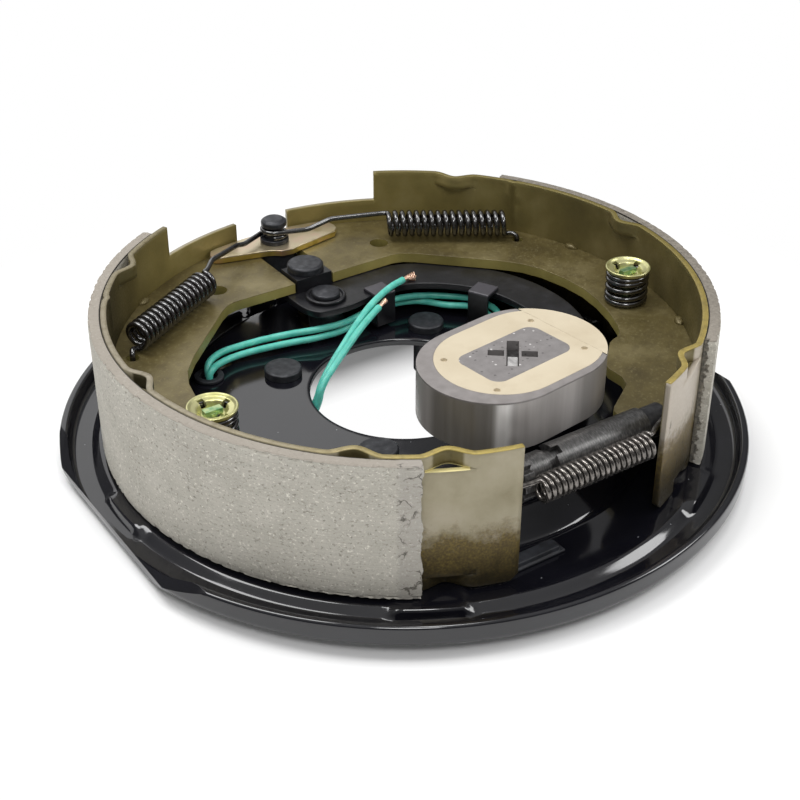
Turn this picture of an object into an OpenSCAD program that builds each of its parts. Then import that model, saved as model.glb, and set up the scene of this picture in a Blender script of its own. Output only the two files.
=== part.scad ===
// Electric drum brake for a trailer wheel, lying on its back.
// X across the brake, Y from the adjuster to the anchor post, Z up along the axle.
// Origin on the axle line, level with the ends of the mounting studs.

/* [Backing plate] */
// outside diameter of the flanged rim
rim_od = 287; // [275:1:300]
// width across the two flat cuts
flat_w = 272; // [260:1:282]
// thickness of the pressed steel
plate_t = 3.3; // [2.8:0.1:4]
// height of the rim's foot above the stud ends
foot_z = 4; // [0:0.5:8]
// height of the rim's wall
rim_h = 10; // [8:0.5:14]
// height of the mounting face's top above the stud ends
dish_z = 22.6; // [18:0.2:26]
// diameter of the spindle hole
spindle_d = 79; // [50:1:84]

/* [Mounting studs] */
// bolt circle of the four studs
stud_pcd = 104.8; // [85:0.1:110]
// stud diameter
stud_d = 11; // [9:0.5:12.5]
// stud head diameter
stud_head_d = 16; // [14:0.5:20]
// stud head height
stud_head_h = 3.4; // [2:0.2:5]

/* [Shoes] */
// outside diameter over the linings
lining_od = 252; // [248:0.5:253]
// lining thickness
lining_t = 5; // [3:0.5:6]
// width of the shoe tables
shoe_w = 57.2; // [50:0.2:60]
// thickness of the shoe tables
table_t = 2.4; // [2:0.1:3]
// thickness of the shoe webs
web_t = 4.7; // [4:0.1:5.5]
// height of the webs' top face
web_top = 44; // [42:0.2:46]
// height at which the shoes ride on the pads
shoe_z = 11.4; // [11:0.1:13]

/* [Anchor and arm] */
// distance of the anchor post from the axle
anchor_y = 107; // [100:0.5:110]
// anchor post diameter
anchor_d = 19; // [16:0.5:20]
// distance of the arm's pivot from the axle
pivot_y = 59.5; // [55:0.5:64]
// thickness of the actuating arm
arm_t = 3.2; // [2.5:0.1:4]
// height of the arm's underside
arm_z = 35.8; // [34:0.2:36]

/* [Magnet] */
// length of the oval magnet
magnet_l = 79; // [70:1:84]
// width of the oval magnet
magnet_w = 57; // [50:1:60]
// height of the magnet
magnet_h = 21; // [18:0.5:22]
// height of the friction face
magnet_top = 65; // [64:0.5:68]

/* [Adjuster and springs] */
// distance of the adjuster's axis from the axle
adjuster_y = 99.5; // [98:0.5:101]
// adjuster barrel diameter
barrel_d = 14.6; // [12:0.2:15]
// wire diameter of the shoe return springs
return_wire = 2.3; // [2:0.1:2.6]
// coil diameter of the shoe return springs, over the wire
return_coil = 12.6; // [11:0.1:13.2]
// coil diameter of the adjuster spring, over the wire
adjust_coil = 10.8; // [9:0.1:11]
// diameter over the lead wires
lead_d = 3; // [2.4:0.1:3.2]

/* [Hidden] */
gap = 0.3;
arc_fn = 96;
rim_r = rim_od / 2;
rim_top = foot_z + rim_h;
groove_z = foot_z + plate_t;
land_z = 10;
pad_z = shoe_z - gap;
land_r = rim_r - 18;
dish_r = 90.5;
stud_xy = stud_pcd / 2 / sqrt(2);
stud_seat_d = stud_d + 0.8;

lining_r = lining_od / 2;
table_ro = lining_r - lining_t;
table_ri = table_ro - table_t;
shoe_top = shoe_z + shoe_w;
low_top = 54.6;
nib_w = 6;
web_bot = web_top - web_t;
web_mid = web_top - web_t / 2;
web_r = table_ri;
pin_xy = [100, -23.5];
eye_xy = [42.5, 83.5];
hook_xy = [98.5, 50.5];
end_hole = [55, -99];
grommet_xy = [-0.78388, 0.62090] * (dish_r - 7.57);

post_r = anchor_d / 2;
neck_r = 4.1;
guide_z = web_top + gap;
guide_t = 3;
washer_t = 2.2;
head_z = 54.9;

pivot_x = -1.5;
journal_r = 5;
arm_top = arm_z + arm_t;
clip_z = dish_z + 1.6;
clip_fold = 1.2;
cam_x = [-10.4, 7.6];
cam_y = [69, 83];
cam_top = 45.5;
cam_mid = [-1.4, 77];

mag_x = 8.6;
mag_y = -60.6;
mag_turn = 7;
mag_bot = magnet_top - magnet_h;
mag_wall = 3.4;
face_x = mag_wall;
face_l = magnet_l - 2 * mag_wall - 1.6;
face_w = magnet_w - 2 * mag_wall;
face_t = 5;
slot_z = magnet_top - face_t;
slot_w = 4.7;
slot_l = 19;
step_z = slot_z - 5;
post_thick = 3.9;
post_thin = 2;
clip_t = 1;

adj_z = web_mid;
fork_r = 6.3;
fork_x = 50.2;
web_end = 45.5;
barrel_x = [-4, 40];
thread_r = 5;
star_r = 9.8;
spring_y = -112.6;
spring_z = 43.2;

nut_teeth = 12;
lead_r = lead_d / 2;

// the two lead wires: from the magnet's back wall to the grommet, through it, to the bare ends
lead_a = concat([[20.1, -30.4, 49], [19.9, -27.6, 49], [22.5, -23.5, 47], [28, -19, 42],
    [35, -14, 36], [42, -7, 30], [50, 2.5, 27], [60, 11.4, 27.8], [64.6, 22, 29.6], [62.4, 34, 30],
    [54, 43.5, 30], [44, 50, 30.5], [33, 53, 31], [21, 52.5, 31], [10, 50.2, 30.5],
    [0, 49, 30], [-11, 51.2, 29.5], [-22, 55.4, 28.8], [-33, 58.8, 28], [-44, 60.4, 27.6],
    [-53, 60.2, 27.6]],
    past_grommet([[6.2, 6.6, 27.6], [2.4, 4.2, 27.2], [0.8, 2.4, 25.4], [0.6, 1.6, 22.6],
    [0.6, 1.6, 17.4], [1.5, 0.5, 13.2], [5, -4.6, 9.2]]),
    [[-57.8, 38.8, 7.8], [-54.4, 30.6, 7.4], [-49, 24.6, 7.8], [-43, 20.6, 9.2],
    [-37.4, 18.4, 12.4], [-34, 17.2, 16.2], [-32.4, 16.6, 20], [-30.6, 16.8, 24.5],
    [-27, 18.4, 28], [-20.5, 22, 31.4], [-12, 27, 34.6], [-3, 32.5, 37.6], [6.3, 37.5, 40.6],
    [15.8, 42.3, 42], [24.8, 46.7, 42.1], [33.4, 50.3, 41.4]]);
lead_b = concat([[15.5, -30.7, 49], [15.3, -27.8, 49], [18, -23, 46.5], [23.5, -17.5, 41.5],
    [31, -11, 35.5], [38.5, -4, 29.5], [46.6, 4, 26.6], [55.6, 12.2, 26.6], [60.4, 19.4, 27.6],
    [61, 27, 27.8], [58, 34.4, 27.8], [51, 41, 27.5], [43, 51.6, 27.2], [32, 55, 27.6],
    [21, 55.4, 27.5], [10, 52.6, 27], [0, 48.9, 26.5], [-12, 50.2, 26], [-23.5, 53.4, 25.7],
    [-34.5, 55.2, 25.8], [-44.5, 56.6, 25.6], [-53, 56, 25.8]],
    past_grommet([[5, 1.7, 26.4], [1.6, -0.7, 26.6], [-0.3, -1.5, 25], [-0.6, -1.6, 22],
    [-0.6, -1.6, 17.4], [-1.4, -3, 13], [-1, -7.6, 8.8]]),
    [[-62.4, 37.4, 7.4], [-59, 28.6, 7], [-54, 21.4, 7.2], [-47.4, 16.4, 8.6],
    [-41, 13.8, 11.6], [-36.6, 13, 15.6], [-34.5, 12.4, 20.4], [-33.1, 12.6, 25.1],
    [-29.6, 14.1, 28.8], [-23.1, 17.5, 31.7], [-14.6, 22.1, 34.7], [-5.5, 27.2, 37.4],
    [3.8, 32.4, 39.2], [11.6, 36.7, 40.1]]);
core_a = [[33.54, 50.36, 41.39], [36.8, 51.6, 41.1], [40.3, 52, 40.5]];
core_b = [[11.73, 36.77, 40.11], [14.4, 38.3, 40.4], [17, 39.6, 40.6]];

// which node to draw, or all of them

function past_grommet(list) =
    [for (p = list) [grommet_xy[0] + p[0], grommet_xy[1] + p[1], p[2]]];
function unit(v) = v / norm(v);
function square_to(v, t) = unit(v - t * (v * t));
function side_of(t) = square_to(abs(t[2]) < 0.8 ? [0, 0, 1] : [0, 1, 0], t);
function way(p, i) = unit((i < len(p) - 1 ? unit(p[i + 1] - p[i]) : [0, 0, 0])
    + (i > 0 ? unit(p[i] - p[i - 1]) : [0, 0, 0]));
function turn(c, r, a, z) = [c[0] + r * cos(a), c[1] + r * sin(a), z];

// a round wire swept along points
module wire(p, r, sides = 6) {
    last = len(p) - 1;
    ways = [for (i = [0 : last]) way(p, i)];
    ups = [for (i = 0, v = side_of(ways[0]); i <= last;
        i = i + 1, v = square_to(v, ways[min(i, last)])) v];
    rings = [for (i = [0 : last]) let (u = square_to(ups[i], ways[i]), w = cross(ways[i], u))
        for (k = [0 : sides - 1]) p[i] + r * (u * cos(360 * k / sides) + w * sin(360 * k / sides))];
    skin = [for (i = [0 : last - 1]) for (k = [0 : sides - 1]) let (n = (k + 1) % sides)
        [i * sides + k, i * sides + n, (i + 1) * sides + n, (i + 1) * sides + k]];
    first_cap = [[for (k = [sides - 1 : -1 : 0]) k]];
    last_cap = [[for (k = [0 : sides - 1]) last * sides + k]];
    polyhedron(points = rings, faces = [for (f = concat(skin, first_cap, last_cap))
        [for (j = [len(f) - 1 : -1 : 0]) f[j]]], convexity = 10);
}

// points of a helix from a to b; it starts at the side named by e
function helix(a, b, r, turns, e, steps) =
    let (u = unit(b - a), f = cross(u, e), n = round(turns * steps))
    [for (i = [0 : n]) a + (b - a) * i / n
        + r * (e * cos(360 * turns * i / n) + f * sin(360 * turns * i / n))];

// part of a ring, between two angles
module arc_band(r0, r1, z0, z1, a0, a1) {
    rotate([0, 0, a0])
        rotate_extrude(angle = a1 - a0, $fn = arc_fn)
            translate([r0, z0])
                square([r1 - r0, z1 - z0]);
}

module at_studs() {
    for (x = [-1, 1], y = [-1, 1])
        translate([x * stud_xy, y * stud_xy, 0])
            children();
}

module backing_plate() {
    color("#17181b")
    difference() {
        union() {
            rotate_extrude($fn = arc_fn)
                polygon([[spindle_d / 2, dish_z], [dish_r, dish_z], [dish_r + 2.7, dish_z - 0.7],
                    [dish_r + 4.7, dish_z - 2.2], [101.4, land_z + 2], [103.2, land_z + 0.5],
                    [105.6, land_z], [land_r, land_z], [land_r + 2.2, land_z - 0.5],
                    [land_r + 3.6, land_z - 1.6], [land_r + 5, groove_z + 0.3],
                    [land_r + 6.6, groove_z], [rim_r - 7, groove_z], [rim_r - 4.7, groove_z + 0.9],
                    [rim_r - plate_t, groove_z + 2.6], [rim_r - plate_t, rim_top],
                    [rim_r, rim_top], [rim_r, foot_z + 3.6], [rim_r - 1.2, foot_z + 1.1],
                    [rim_r - 3.8, foot_z], [land_r + 5.6, foot_z], [land_r + 2.6, foot_z + 0.9],
                    [land_r + 0.8, land_z - plate_t - 0.3], [land_r - 1, land_z - plate_t],
                    [104.6, land_z - plate_t], [101.4, land_z - plate_t + 0.6],
                    [99, land_z - plate_t + 2.4], [dish_r + 2.2, dish_z - plate_t - 1.6],
                    [dish_r + 0.8, dish_z - plate_t - 0.4], [dish_r - 0.8, dish_z - plate_t],
                    [spindle_d / 2, dish_z - plate_t]]);
            for (a = [0 : 60 : 300])
                rotate([0, 0, a])
                    translate([land_r - 10, -13, groove_z])
                        cube([15, 26, pad_z - groove_z]);
            translate([0, anchor_y, land_z - plate_t])
                cylinder(h = dish_z - land_z + plate_t, r = 12.2, $fn = 48);
        }
        for (s = [-1, 1]) {
            translate([s * (flat_w / 2 + 20), 0, 0])
                cube([40, 200, 60], center = true);
            translate([0, 100, 0])
                rotate([90, 0, 0])
                    linear_extrude(200)
                        polygon([[s * 155, groove_z], [s * flat_w / 2, groove_z],
                            [s * (flat_w / 2 - 9.5), rim_top + 1], [s * 155, rim_top + 1]]);
            translate([s * pin_xy[0], pin_xy[1], 0])
                cylinder(h = 40, r = 2.6, $fn = 24);
        }
        at_studs()
            translate([0, 0, 10])
                cylinder(h = 20, r = stud_seat_d / 2 + 0.02, $fn = 32);
        translate([0, anchor_y, 0])
            cylinder(h = dish_z - plate_t, r = 8.9, $fn = 32);
        translate([0, anchor_y, 0])
            cylinder(h = 40, r = 6.02, $fn = 32);
        translate([pivot_x, pivot_y, 0])
            cylinder(h = 40, r = journal_r + 0.02, $fn = 32);
        translate(grommet_xy)
            cylinder(h = 40, r = 5.02, $fn = 32);
        translate([-33, -112.4, 0])
            cube([26, 5.6, 20]);
    }
}

module mounting_studs() {
    color("#202124")
    at_studs() {
        translate([0, 0, dish_z])
            cylinder(h = stud_head_h - 0.5, d = stud_head_d, $fn = 40);
        translate([0, 0, dish_z + stud_head_h - 0.5])
            cylinder(h = 0.5, d1 = stud_head_d, d2 = stud_head_d - 1.2, $fn = 40);
        translate([0, 0, dish_z - plate_t - 0.5])
            cylinder(h = plate_t + 0.5, d = stud_seat_d, $fn = 32);
        translate([0, 0, 1])
            cylinder(h = dish_z - plate_t - 1.5, d = stud_d, $fn = 32);
        cylinder(h = 1, d1 = stud_d - 2, d2 = stud_d, $fn = 32);
    }
}

module anchor_post() {
    color("#1b1c1e")
    translate([0, anchor_y, 0]) {
        translate([0, 0, dish_z])
            cylinder(h = web_top + gap - dish_z, r = post_r, $fn = 48);
        translate([0, 0, dish_z - plate_t - 1.8])
            cylinder(h = plate_t + 1.8, r = 6, $fn = 32);
        translate([0, 0, dish_z - plate_t - 3.4])
            cylinder(h = 1.6, r = 8, $fn = 32);
        translate([0, 0, web_top])
            cylinder(h = head_z - web_top, r = neck_r, $fn = 32);
        translate([0, 0, head_z])
            cylinder(h = 0.6, r1 = 5.2, r2 = 5.9, $fn = 32);
        translate([0, 0, head_z + 0.6])
            cylinder(h = 2, r = 5.9, $fn = 32);
        translate([0, 0, head_z + 2.6])
            cylinder(h = 1.2, r1 = 5.9, r2 = 4.2, $fn = 32);
    }
}

module anchor_washer() {
    color("#1b1c1e")
    translate([0, anchor_y, guide_z + guide_t])
        difference() {
            cylinder(h = washer_t, r = 6.6, $fn = 32);
            translate([0, 0, -1])
                cylinder(h = washer_t + 2, r = neck_r + 0.05, $fn = 32);
        }
}

module guide_plate() {
    color("#cdb869")
    translate([0, 0, guide_z])
        linear_extrude(guide_t)
            difference() {
                polygon([[-32.2, 109.6], [-31.9, 106.6], [-29.6, 105.1], [-8.4, 99.6],
                    [-5.4, 98.2], [-2.6, 95.8], [2.8, 95], [7.4, 96.2], [28.6, 100.3],
                    [31.2, 103], [31.9, 106.4], [31.2, 110], [28.6, 113.4], [14, 116.2],
                    [0, 117.4], [-14, 116.6], [-27, 114.6], [-30.2, 113.4]]);
                translate([0, anchor_y])
                    circle(r = neck_r + 0.05, $fn = 32);
            }
}

module arm_pivot_pin() {
    color("#3a3b3e")
    translate([pivot_x, pivot_y, 0]) {
        translate([0, 0, dish_z])
            cylinder(h = arm_z - gap - dish_z, r = 8, $fn = 40);
        translate([0, 0, dish_z - plate_t - 1.6])
            cylinder(h = arm_top + 2 - dish_z + plate_t + 1.6, r = journal_r, $fn = 32);
        translate([0, 0, dish_z - plate_t - 3.2])
            cylinder(h = 1.6, r = 7, $fn = 32);
        translate([0, 0, arm_top + 1.9])
            cylinder(h = 1.6, r = 6.6, $fn = 32);
        translate([0, 0, arm_top + 3.5])
            cylinder(h = 1.4, r1 = 6.6, r2 = 4.4, $fn = 32);
    }
}

module arm_pivot_washer() {
    color("#46474b")
    translate([pivot_x, pivot_y, arm_top + gap])
        difference() {
            cylinder(h = 1.5, r = 9, $fn = 40);
            translate([0, 0, -1])
                cylinder(h = 4, r = journal_r + 0.05, $fn = 32);
        }
}

module actuating_arm() {
    color("#2a2b2f")
    difference() {
        union() {
            translate([0, 0, arm_z])
                linear_extrude(arm_t)
                    polygon([[-9.5, 85.5], [-14, 80], [-15.2, 72], [-15, 59], [-13.2, 52.2],
                        [-8.5, 48.4], [2.7, 47.4], [17.3, 49.6], [30, 50.6], [38, 48.6],
                        [46, 43.8], [53, 37.4], [59, 29.5], [63.2, 20], [65.4, 8], [65, -6],
                        [61, -18], [54, -28.5], [44, -37.5], [30, -44.5], [16, -48.4],
                        [2, -50.4], [-5, -54.2], [-7, -61], [-4.4, -68], [2.5, -73.2],
                        [14, -73.6], [30, -69.4], [46, -61], [60, -49.5], [72, -36],
                        [80, -21], [84.5, -5], [85, 10], [82.6, 24], [76.8, 38], [67, 51.5],
                        [55, 62], [43, 68.6], [28, 72.6], [14, 75], [11, 81], [6.5, 85.5],
                        [-1.5, 87.4]]);
            for (c = [[21.2, 45.1, 4], [54.7, 22.4, -64]])
                translate([c[0], c[1], 0])
                    rotate([0, 0, c[2]])
                        wire_clip();
        }
        translate([pivot_x, pivot_y, arm_z - 1])
            cylinder(h = arm_t + 2, r = journal_r + 0.05, $fn = 32);
        translate([cam_mid[0], cam_mid[1], arm_z - 1])
            cylinder(h = arm_t + 2, r = 4, $fn = 32);
        translate([mag_x, mag_y, arm_z - 1])
            cylinder(h = arm_t + 2, r = post_thick, $fn = 32);
    }
}

// a tab on the arm, folded down over its inner edge and back under the leads
module wire_clip() {
    translate([-5, 0, 0])
        rotate([90, 0, 90])
            linear_extrude(10)
                polygon([[0, clip_z], [12, clip_z], [12, clip_z + clip_fold],
                    [clip_fold, clip_z + clip_fold], [clip_fold, arm_top - 0.8],
                    [10.5, arm_top - 0.8], [10.5, arm_top + clip_fold], [0, arm_top + clip_fold]]);
}

module cam_block() {
    color("#3d3e42")
    difference() {
        translate([cam_x[0], cam_y[0], arm_top])
            cube([cam_x[1] - cam_x[0], cam_y[1] - cam_y[0], cam_top - arm_top]);
        translate([cam_mid[0], cam_mid[1], arm_top - 1])
            cylinder(h = 12, r = 4, $fn = 32);
    }
}

module cam_rivet() {
    color("#26272a")
    translate([cam_mid[0], cam_mid[1], 0]) {
        translate([0, 0, arm_z - 1.4])
            cylinder(h = 1.4, r = 6, $fn = 32);
        translate([0, 0, arm_z])
            cylinder(h = cam_top - arm_z, r = 4, $fn = 32);
        translate([0, 0, cam_top])
            cylinder(h = 2.8, r = 8.2, $fn = 40);
        translate([0, 0, cam_top + 2.8])
            cylinder(h = 0.8, r1 = 8.2, r2 = 7.2, $fn = 40);
    }
}

// an oval with straight sides
module oval(l, w) {
    for (x = [-1, 1])
        translate([x * (l - w) / 2, 0])
            circle(d = w, $fn = 64);
    square([l - w, w], center = true);
}

// the outline of the magnet's friction face, set towards one end
module face_oval(d) {
    translate([face_x, 0])
        oval(face_l - 2 * d, face_w - 2 * d);
}

// the outline of the magnet's pole piece
module pole() {
    translate([0.4, -0.6])
        offset(r = 5, $fn = 48)
            square([31, 14], center = true);
}

module at_magnet() {
    translate([mag_x, mag_y, 0])
        rotate([0, 0, mag_turn])
            children();
}

// the cross slot in the pole face: a bar with a pocket on each side of it
module cross_slot() {
    rotate([0, 0, 45])
        translate([0, 0, slot_z]) {
            translate([-slot_l / 2, -slot_w / 2, 0])
                cube([slot_l, slot_w, face_t + 1]);
            for (y = [-1, 1])
                translate([-2.15, y * 6.4 - 3.1, 0])
                    cube([4.3, 6.2, face_t + 1]);
        }
}

module magnet_post() {
    color("#55575b")
    at_magnet() {
        translate([0, 0, arm_z - 1.6])
            cylinder(h = 1.6, r = 7, $fn = 32);
        translate([0, 0, arm_z])
            cylinder(h = step_z - 3.5 - arm_z, r = post_thick, $fn = 32);
        translate([0, 0, step_z - 3.6])
            cylinder(h = slot_z + gap - step_z + 3.6, r = post_thin, $fn = 32);
        translate([0, 0, slot_z])
            cylinder(h = clip_t + 2 * gap, r = 1.2, $fn = 24);
        translate([0, 0, slot_z + clip_t + 1.5 * gap])
            cylinder(h = 0.8, r = post_thin, $fn = 24);
    }
}

module magnet_clip() {
    color("#8d8f92")
    at_magnet()
        rotate([0, 0, 45])
            translate([0, 0, slot_z + gap])
                difference() {
                    translate([-slot_l / 2 + 1, -slot_w / 2 + gap, 0])
                        cube([slot_l - 2, slot_w - 2 * gap, clip_t]);
                    translate([0, 0, -1])
                        cylinder(h = 3, r = 1.25, $fn = 24);
                }
}

module magnet_spring() {
    color("#77797c")
    at_magnet()
        wire(helix([0, 0, arm_top + 0.75], [0, 0, mag_bot - 0.75], 9, 1.5, [1, 0, 0], 12), 0.7, 6);
}

module magnet_housing() {
    color("#a9a9a8")
    at_magnet()
        difference() {
            translate([0, 0, mag_bot])
                linear_extrude(magnet_h)
                    oval(magnet_l, magnet_w);
            translate([0, 0, mag_bot + 3])
                linear_extrude(magnet_h)
                    face_oval(0);
            translate([0, 0, mag_bot - 1])
                cylinder(h = 6, r = post_thick + gap, $fn = 32);
        }
}

module magnet_core() {
    color("#8f9194")
    at_magnet()
        difference() {
            translate([0, 0, mag_bot + 3])
                linear_extrude(magnet_h - 3)
                    pole();
            translate([0, 0, mag_bot])
                cylinder(h = step_z - mag_bot, r = post_thick + gap, $fn = 32);
            translate([0, 0, mag_bot])
                cylinder(h = magnet_h - 1, r = post_thin + 0.25, $fn = 32);
            cross_slot();
        }
}

module magnet_coil() {
    color("#b4622f")
    at_magnet()
        translate([0, 0, mag_bot + 3])
            linear_extrude(12.8)
                difference() {
                    face_oval(1);
                    offset(delta = 2)
                        pole();
                }
}

module magnet_face() {
    color("#e7dfc8")
    at_magnet()
        difference() {
            translate([0, 0, slot_z])
                linear_extrude(face_t)
                    difference() {
                        face_oval(0);
                        pole();
                    }
            for (x = [-1, 1], y = [-1, 1])
                translate([x * 23.2 + 0.2, y * 14.3 - 0.8, magnet_top - 1.2])
                    cylinder(h = 3, r = 1.3, $fn = 16);
        }
}

// the web's plan, for the shoe on the +X side; x0 is its end beside the cam
module web_plan(x0) {
    difference() {
        intersection() {
            circle(r = web_r, $fn = arc_fn);
            polygon([[x0, 69.5], [36, 69.8], [41, 69.8], [45.5, 68.4], [50, 65], [77, 38.2],
                [84.5, 29], [88.6, 20], [91.4, 7], [92, -5], [90.4, -16], [87, -28],
                [82.6, -38.5], [79.5, -43.4], [76, -45.8], [72.8, -46.6], [70, -48],
                [57.5, -60], [55.8, -63.5], [56, -71.2], [53.8, -76.6], [39, -86.2],
                [36.6, -88.4], [36.4, -90.6], [38.5, -91.6], [web_end, -92],
                [web_end, -107.2], [44, -122], [125, -122], [140, -40], [140, 100],
                [60, 135], [x0, 125]]);
        }
        translate([0, anchor_y])
            circle(r = post_r + 0.35, $fn = 48);
        polygon([[0, anchor_y], [9, anchor_y], [13.4, 114], [13.6, 125], [0, 125]]);
        translate(pin_xy)
            circle(r = 4.6, $fn = 32);
        translate(eye_xy)
            circle(r = 4.2, $fn = 32);
        translate(hook_xy)
            circle(r = 2.6, $fn = 24);
        translate(end_hole)
            circle(r = 2.2, $fn = 24);
    }
}

// the small loops that are pressed in along both edges of the table
module nibs(list) {
    for (a = list, z = [shoe_z + gap, shoe_top - gap - nib_w])
        arc_band(table_ri - 2.2, table_ri + 1.2, z, z + nib_w, a - 4.3, a + 4.3);
}

module primary_web() {
    color("#7f7a55")
    translate([0, 0, web_bot])
        linear_extrude(web_t)
            web_plan(8.4);
}

module primary_table() {
    color("#8a8358")
    {
        difference() {
            arc_band(table_ri, table_ro, shoe_z, shoe_top, -71.4, 83.6);
            arc_band(table_ri - 1, table_ro + 1, low_top, shoe_top + 1, 62.9, 90);
        }
        nibs([44.2, 0.4, -60]);
    }
}

module primary_lining() {
    color("#a5a29a")
    arc_band(table_ro, lining_r, shoe_z + 0.3, shoe_top - 0.3, -53.9, 34.5);
}

module secondary_web() {
    color("#7f7a55")
    translate([0, 0, web_bot])
        linear_extrude(web_t)
            mirror([1, 0])
                web_plan(11);
}

module secondary_table() {
    color("#8a8358")
    {
        difference() {
            arc_band(table_ri, table_ro, shoe_z, shoe_top, 96.6, 255.6);
            arc_band(table_ri - 1, table_ro + 1, low_top, shoe_top + 1, 90, 116.8);
        }
        nibs([135, 182, 227.7, 243]);
    }
}

module secondary_lining() {
    color("#a5a29a")
    arc_band(table_ro, lining_r, shoe_z + 0.3, shoe_top - 0.3, 120.3, 238.9);
}

module hold_pin() {
    translate([0, 0, land_z - plate_t - 1.8])
        cylinder(h = 1.7, r = 5, $fn = 24);
    translate([0, 0, land_z - plate_t - 0.1])
        cylinder(h = 58 - land_z + plate_t, r = 1.9, $fn = 24);
    translate([-3.6, -1.5, 57])
        cube([7.2, 3, 2.2]);
}

module hold_cup() {
    difference() {
        union() {
            translate([0, 0, 55.4])
                cylinder(h = 3.2, r1 = 5.4, r2 = 6.6, $fn = 32);
            translate([0, 0, 58.6])
                cylinder(h = 1.9, r1 = 8.6, r2 = 9.3, $fn = 32);
        }
        translate([0, 0, 56.6])
            cylinder(h = 2.4, r1 = 4.4, r2 = 5.4, $fn = 32);
        translate([0, 0, 59])
            cylinder(h = 2, r1 = 5.4, r2 = 8.4, $fn = 32);
        translate([-2.3, -4.2, 50])
            cube([4.6, 8.4, 8]);
    }
}

module hold_spring() {
    wire(helix([0, 0, web_top + 1.25], [0, 0, 57.35], 7.6, 4.6, [1, 0, 0], 12), 1.1, 6);
}

module primary_hold_pin() {
    color("#9a9c6a")
    translate([pin_xy[0], pin_xy[1], 0])
        hold_pin();
}

module primary_hold_cup() {
    color("#cfc48a")
    translate([pin_xy[0], pin_xy[1], 0])
        hold_cup();
}

module primary_hold_spring() {
    color("#1d1d1f")
    translate([pin_xy[0], pin_xy[1], 0])
        hold_spring();
}

module secondary_hold_pin() {
    color("#9a9c6a")
    translate([-pin_xy[0], pin_xy[1], 0])
        hold_pin();
}

module secondary_hold_cup() {
    color("#cfc48a")
    translate([-pin_xy[0], pin_xy[1], 0])
        hold_cup();
}

module secondary_hold_spring() {
    color("#1d1d1f")
    translate([-pin_xy[0], pin_xy[1], 0])
        hold_spring();
}

// a shoe return spring on the +X side; z0 is the height of its eye on the post
module return_spring(z0) {
    r = return_wire / 2;
    rc = return_coil / 2 - r;
    eye_r = neck_r + r + 0.15;
    wire(concat([for (a = [-340 : 24.2 : -97]) turn([0, anchor_y], eye_r, a, z0)],
        [[9, 100.6, z0], [15.5, 100, z0 + 0.5], [19.5, 98.9, z0 + 2.2], [24, 97.2, 56.2],
            [28, 95.6, 56.7], [44, 88.9, 56.7]],
        helix([49, 85.6, 51.5], [94.5, 55.2, 51.5], rc, 16.5, [0, 0, 1], 10),
        [[97.2, 53, 46.4], [98.4, 51.4, 45.4], [98.5, 50.5, 43.4], [98.5, 50.5, 40.4]]), r, 6);
}

module primary_return_spring() {
    color("#1d1d1f")
    return_spring(50.9);
}

module secondary_return_spring() {
    color("#1d1d1f")
    mirror([1, 0, 0])
        return_spring(53.4);
}

module on_adjuster(x) {
    translate([x, -adjuster_y, adj_z])
        rotate([0, 90, 0])
            children();
}

module adjuster_barrel() {
    color("#a6a8aa")
    difference() {
        on_adjuster(barrel_x[0])
            cylinder(h = barrel_x[1] - barrel_x[0], d = barrel_d, $fn = 40);
        on_adjuster(barrel_x[0] - 1)
            cylinder(h = barrel_x[1] - barrel_x[0] + 2, r = thread_r + 0.08, $fn = 32);
        for (a = [20 : 90 : 290])
            on_adjuster(barrel_x[0])
                rotate([0, 0, a])
                    translate([4, -1.8, -1])
                        cube([6, 3.6, 4]);
    }
}

// the slotted end that straddles a web; it faces +X
module fork_end() {
    difference() {
        on_adjuster(barrel_x[1])
            cylinder(h = fork_x - barrel_x[1], r = fork_r, $fn = 40);
        translate([web_end - gap, -adjuster_y - 10, web_bot - gap])
            cube([20, 20, web_t + 2 * gap]);
    }
}

module adjuster_socket() {
    color("#4b4c4f")
    {
        fork_end();
        on_adjuster(barrel_x[1] - 5.5)
            cylinder(h = 5.6, r = thread_r, $fn = 32);
    }
}

module adjuster_fork() {
    color("#4b4c4f")
    difference() {
        mirror([1, 0, 0])
            fork_end();
        on_adjuster(-44)
            cylinder(h = 10, r = 4.05, $fn = 32);
    }
}

module adjuster_screw() {
    color("#8b8d90")
    {
        on_adjuster(-7)
            cylinder(h = 35, r = thread_r, $fn = 32);
        on_adjuster(-17)
            cylinder(h = 10, r = 6.2, $fn = 32);
        on_adjuster(-43.5)
            cylinder(h = 26.6, r = 4, $fn = 32);
    }
}

module star_wheel() {
    color("#7d7f82")
    difference() {
        on_adjuster(-22)
            linear_extrude(5)
                for (k = [0 : nut_teeth - 1])
                    rotate(k * 360 / nut_teeth)
                        polygon([[0, 0], [7.4, -2], [star_r, -1.2], [star_r, 1.2], [7.4, 2]]);
        on_adjuster(-23)
            cylinder(h = 8, r = 4, $fn = 32);
    }
}

module adjuster_spring() {
    color("#2c2c2e")
    {
        r = 1;
        rc = adjust_coil / 2 - r;
        top = spring_z + rc;
        wire(concat([[-55, -99, 40.5], [-55, -99, 44.4], [-54.4, -100.4, 46.6],
            [-52.6, -103, 47.7], [-49, -105.2, 47.5], [-44, -107, 47.2], [-36, -109.8, 47.3],
            [-26, -111.9, top], [-18, spring_y, top]],
            helix([-14.8, spring_y, spring_z], [33, spring_y, spring_z], rc, 19, [0, 0, 1], 10),
            [[35, -111.9, 47.5], [38, -110, 47.4], [44, -107, 47.2], [49, -105.2, 47.5],
                [52.6, -103, 47.7], [54.4, -100.4, 46.6], [55, -99, 44.4], [55, -99, 40.5]]), r, 6);
    }
}

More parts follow.
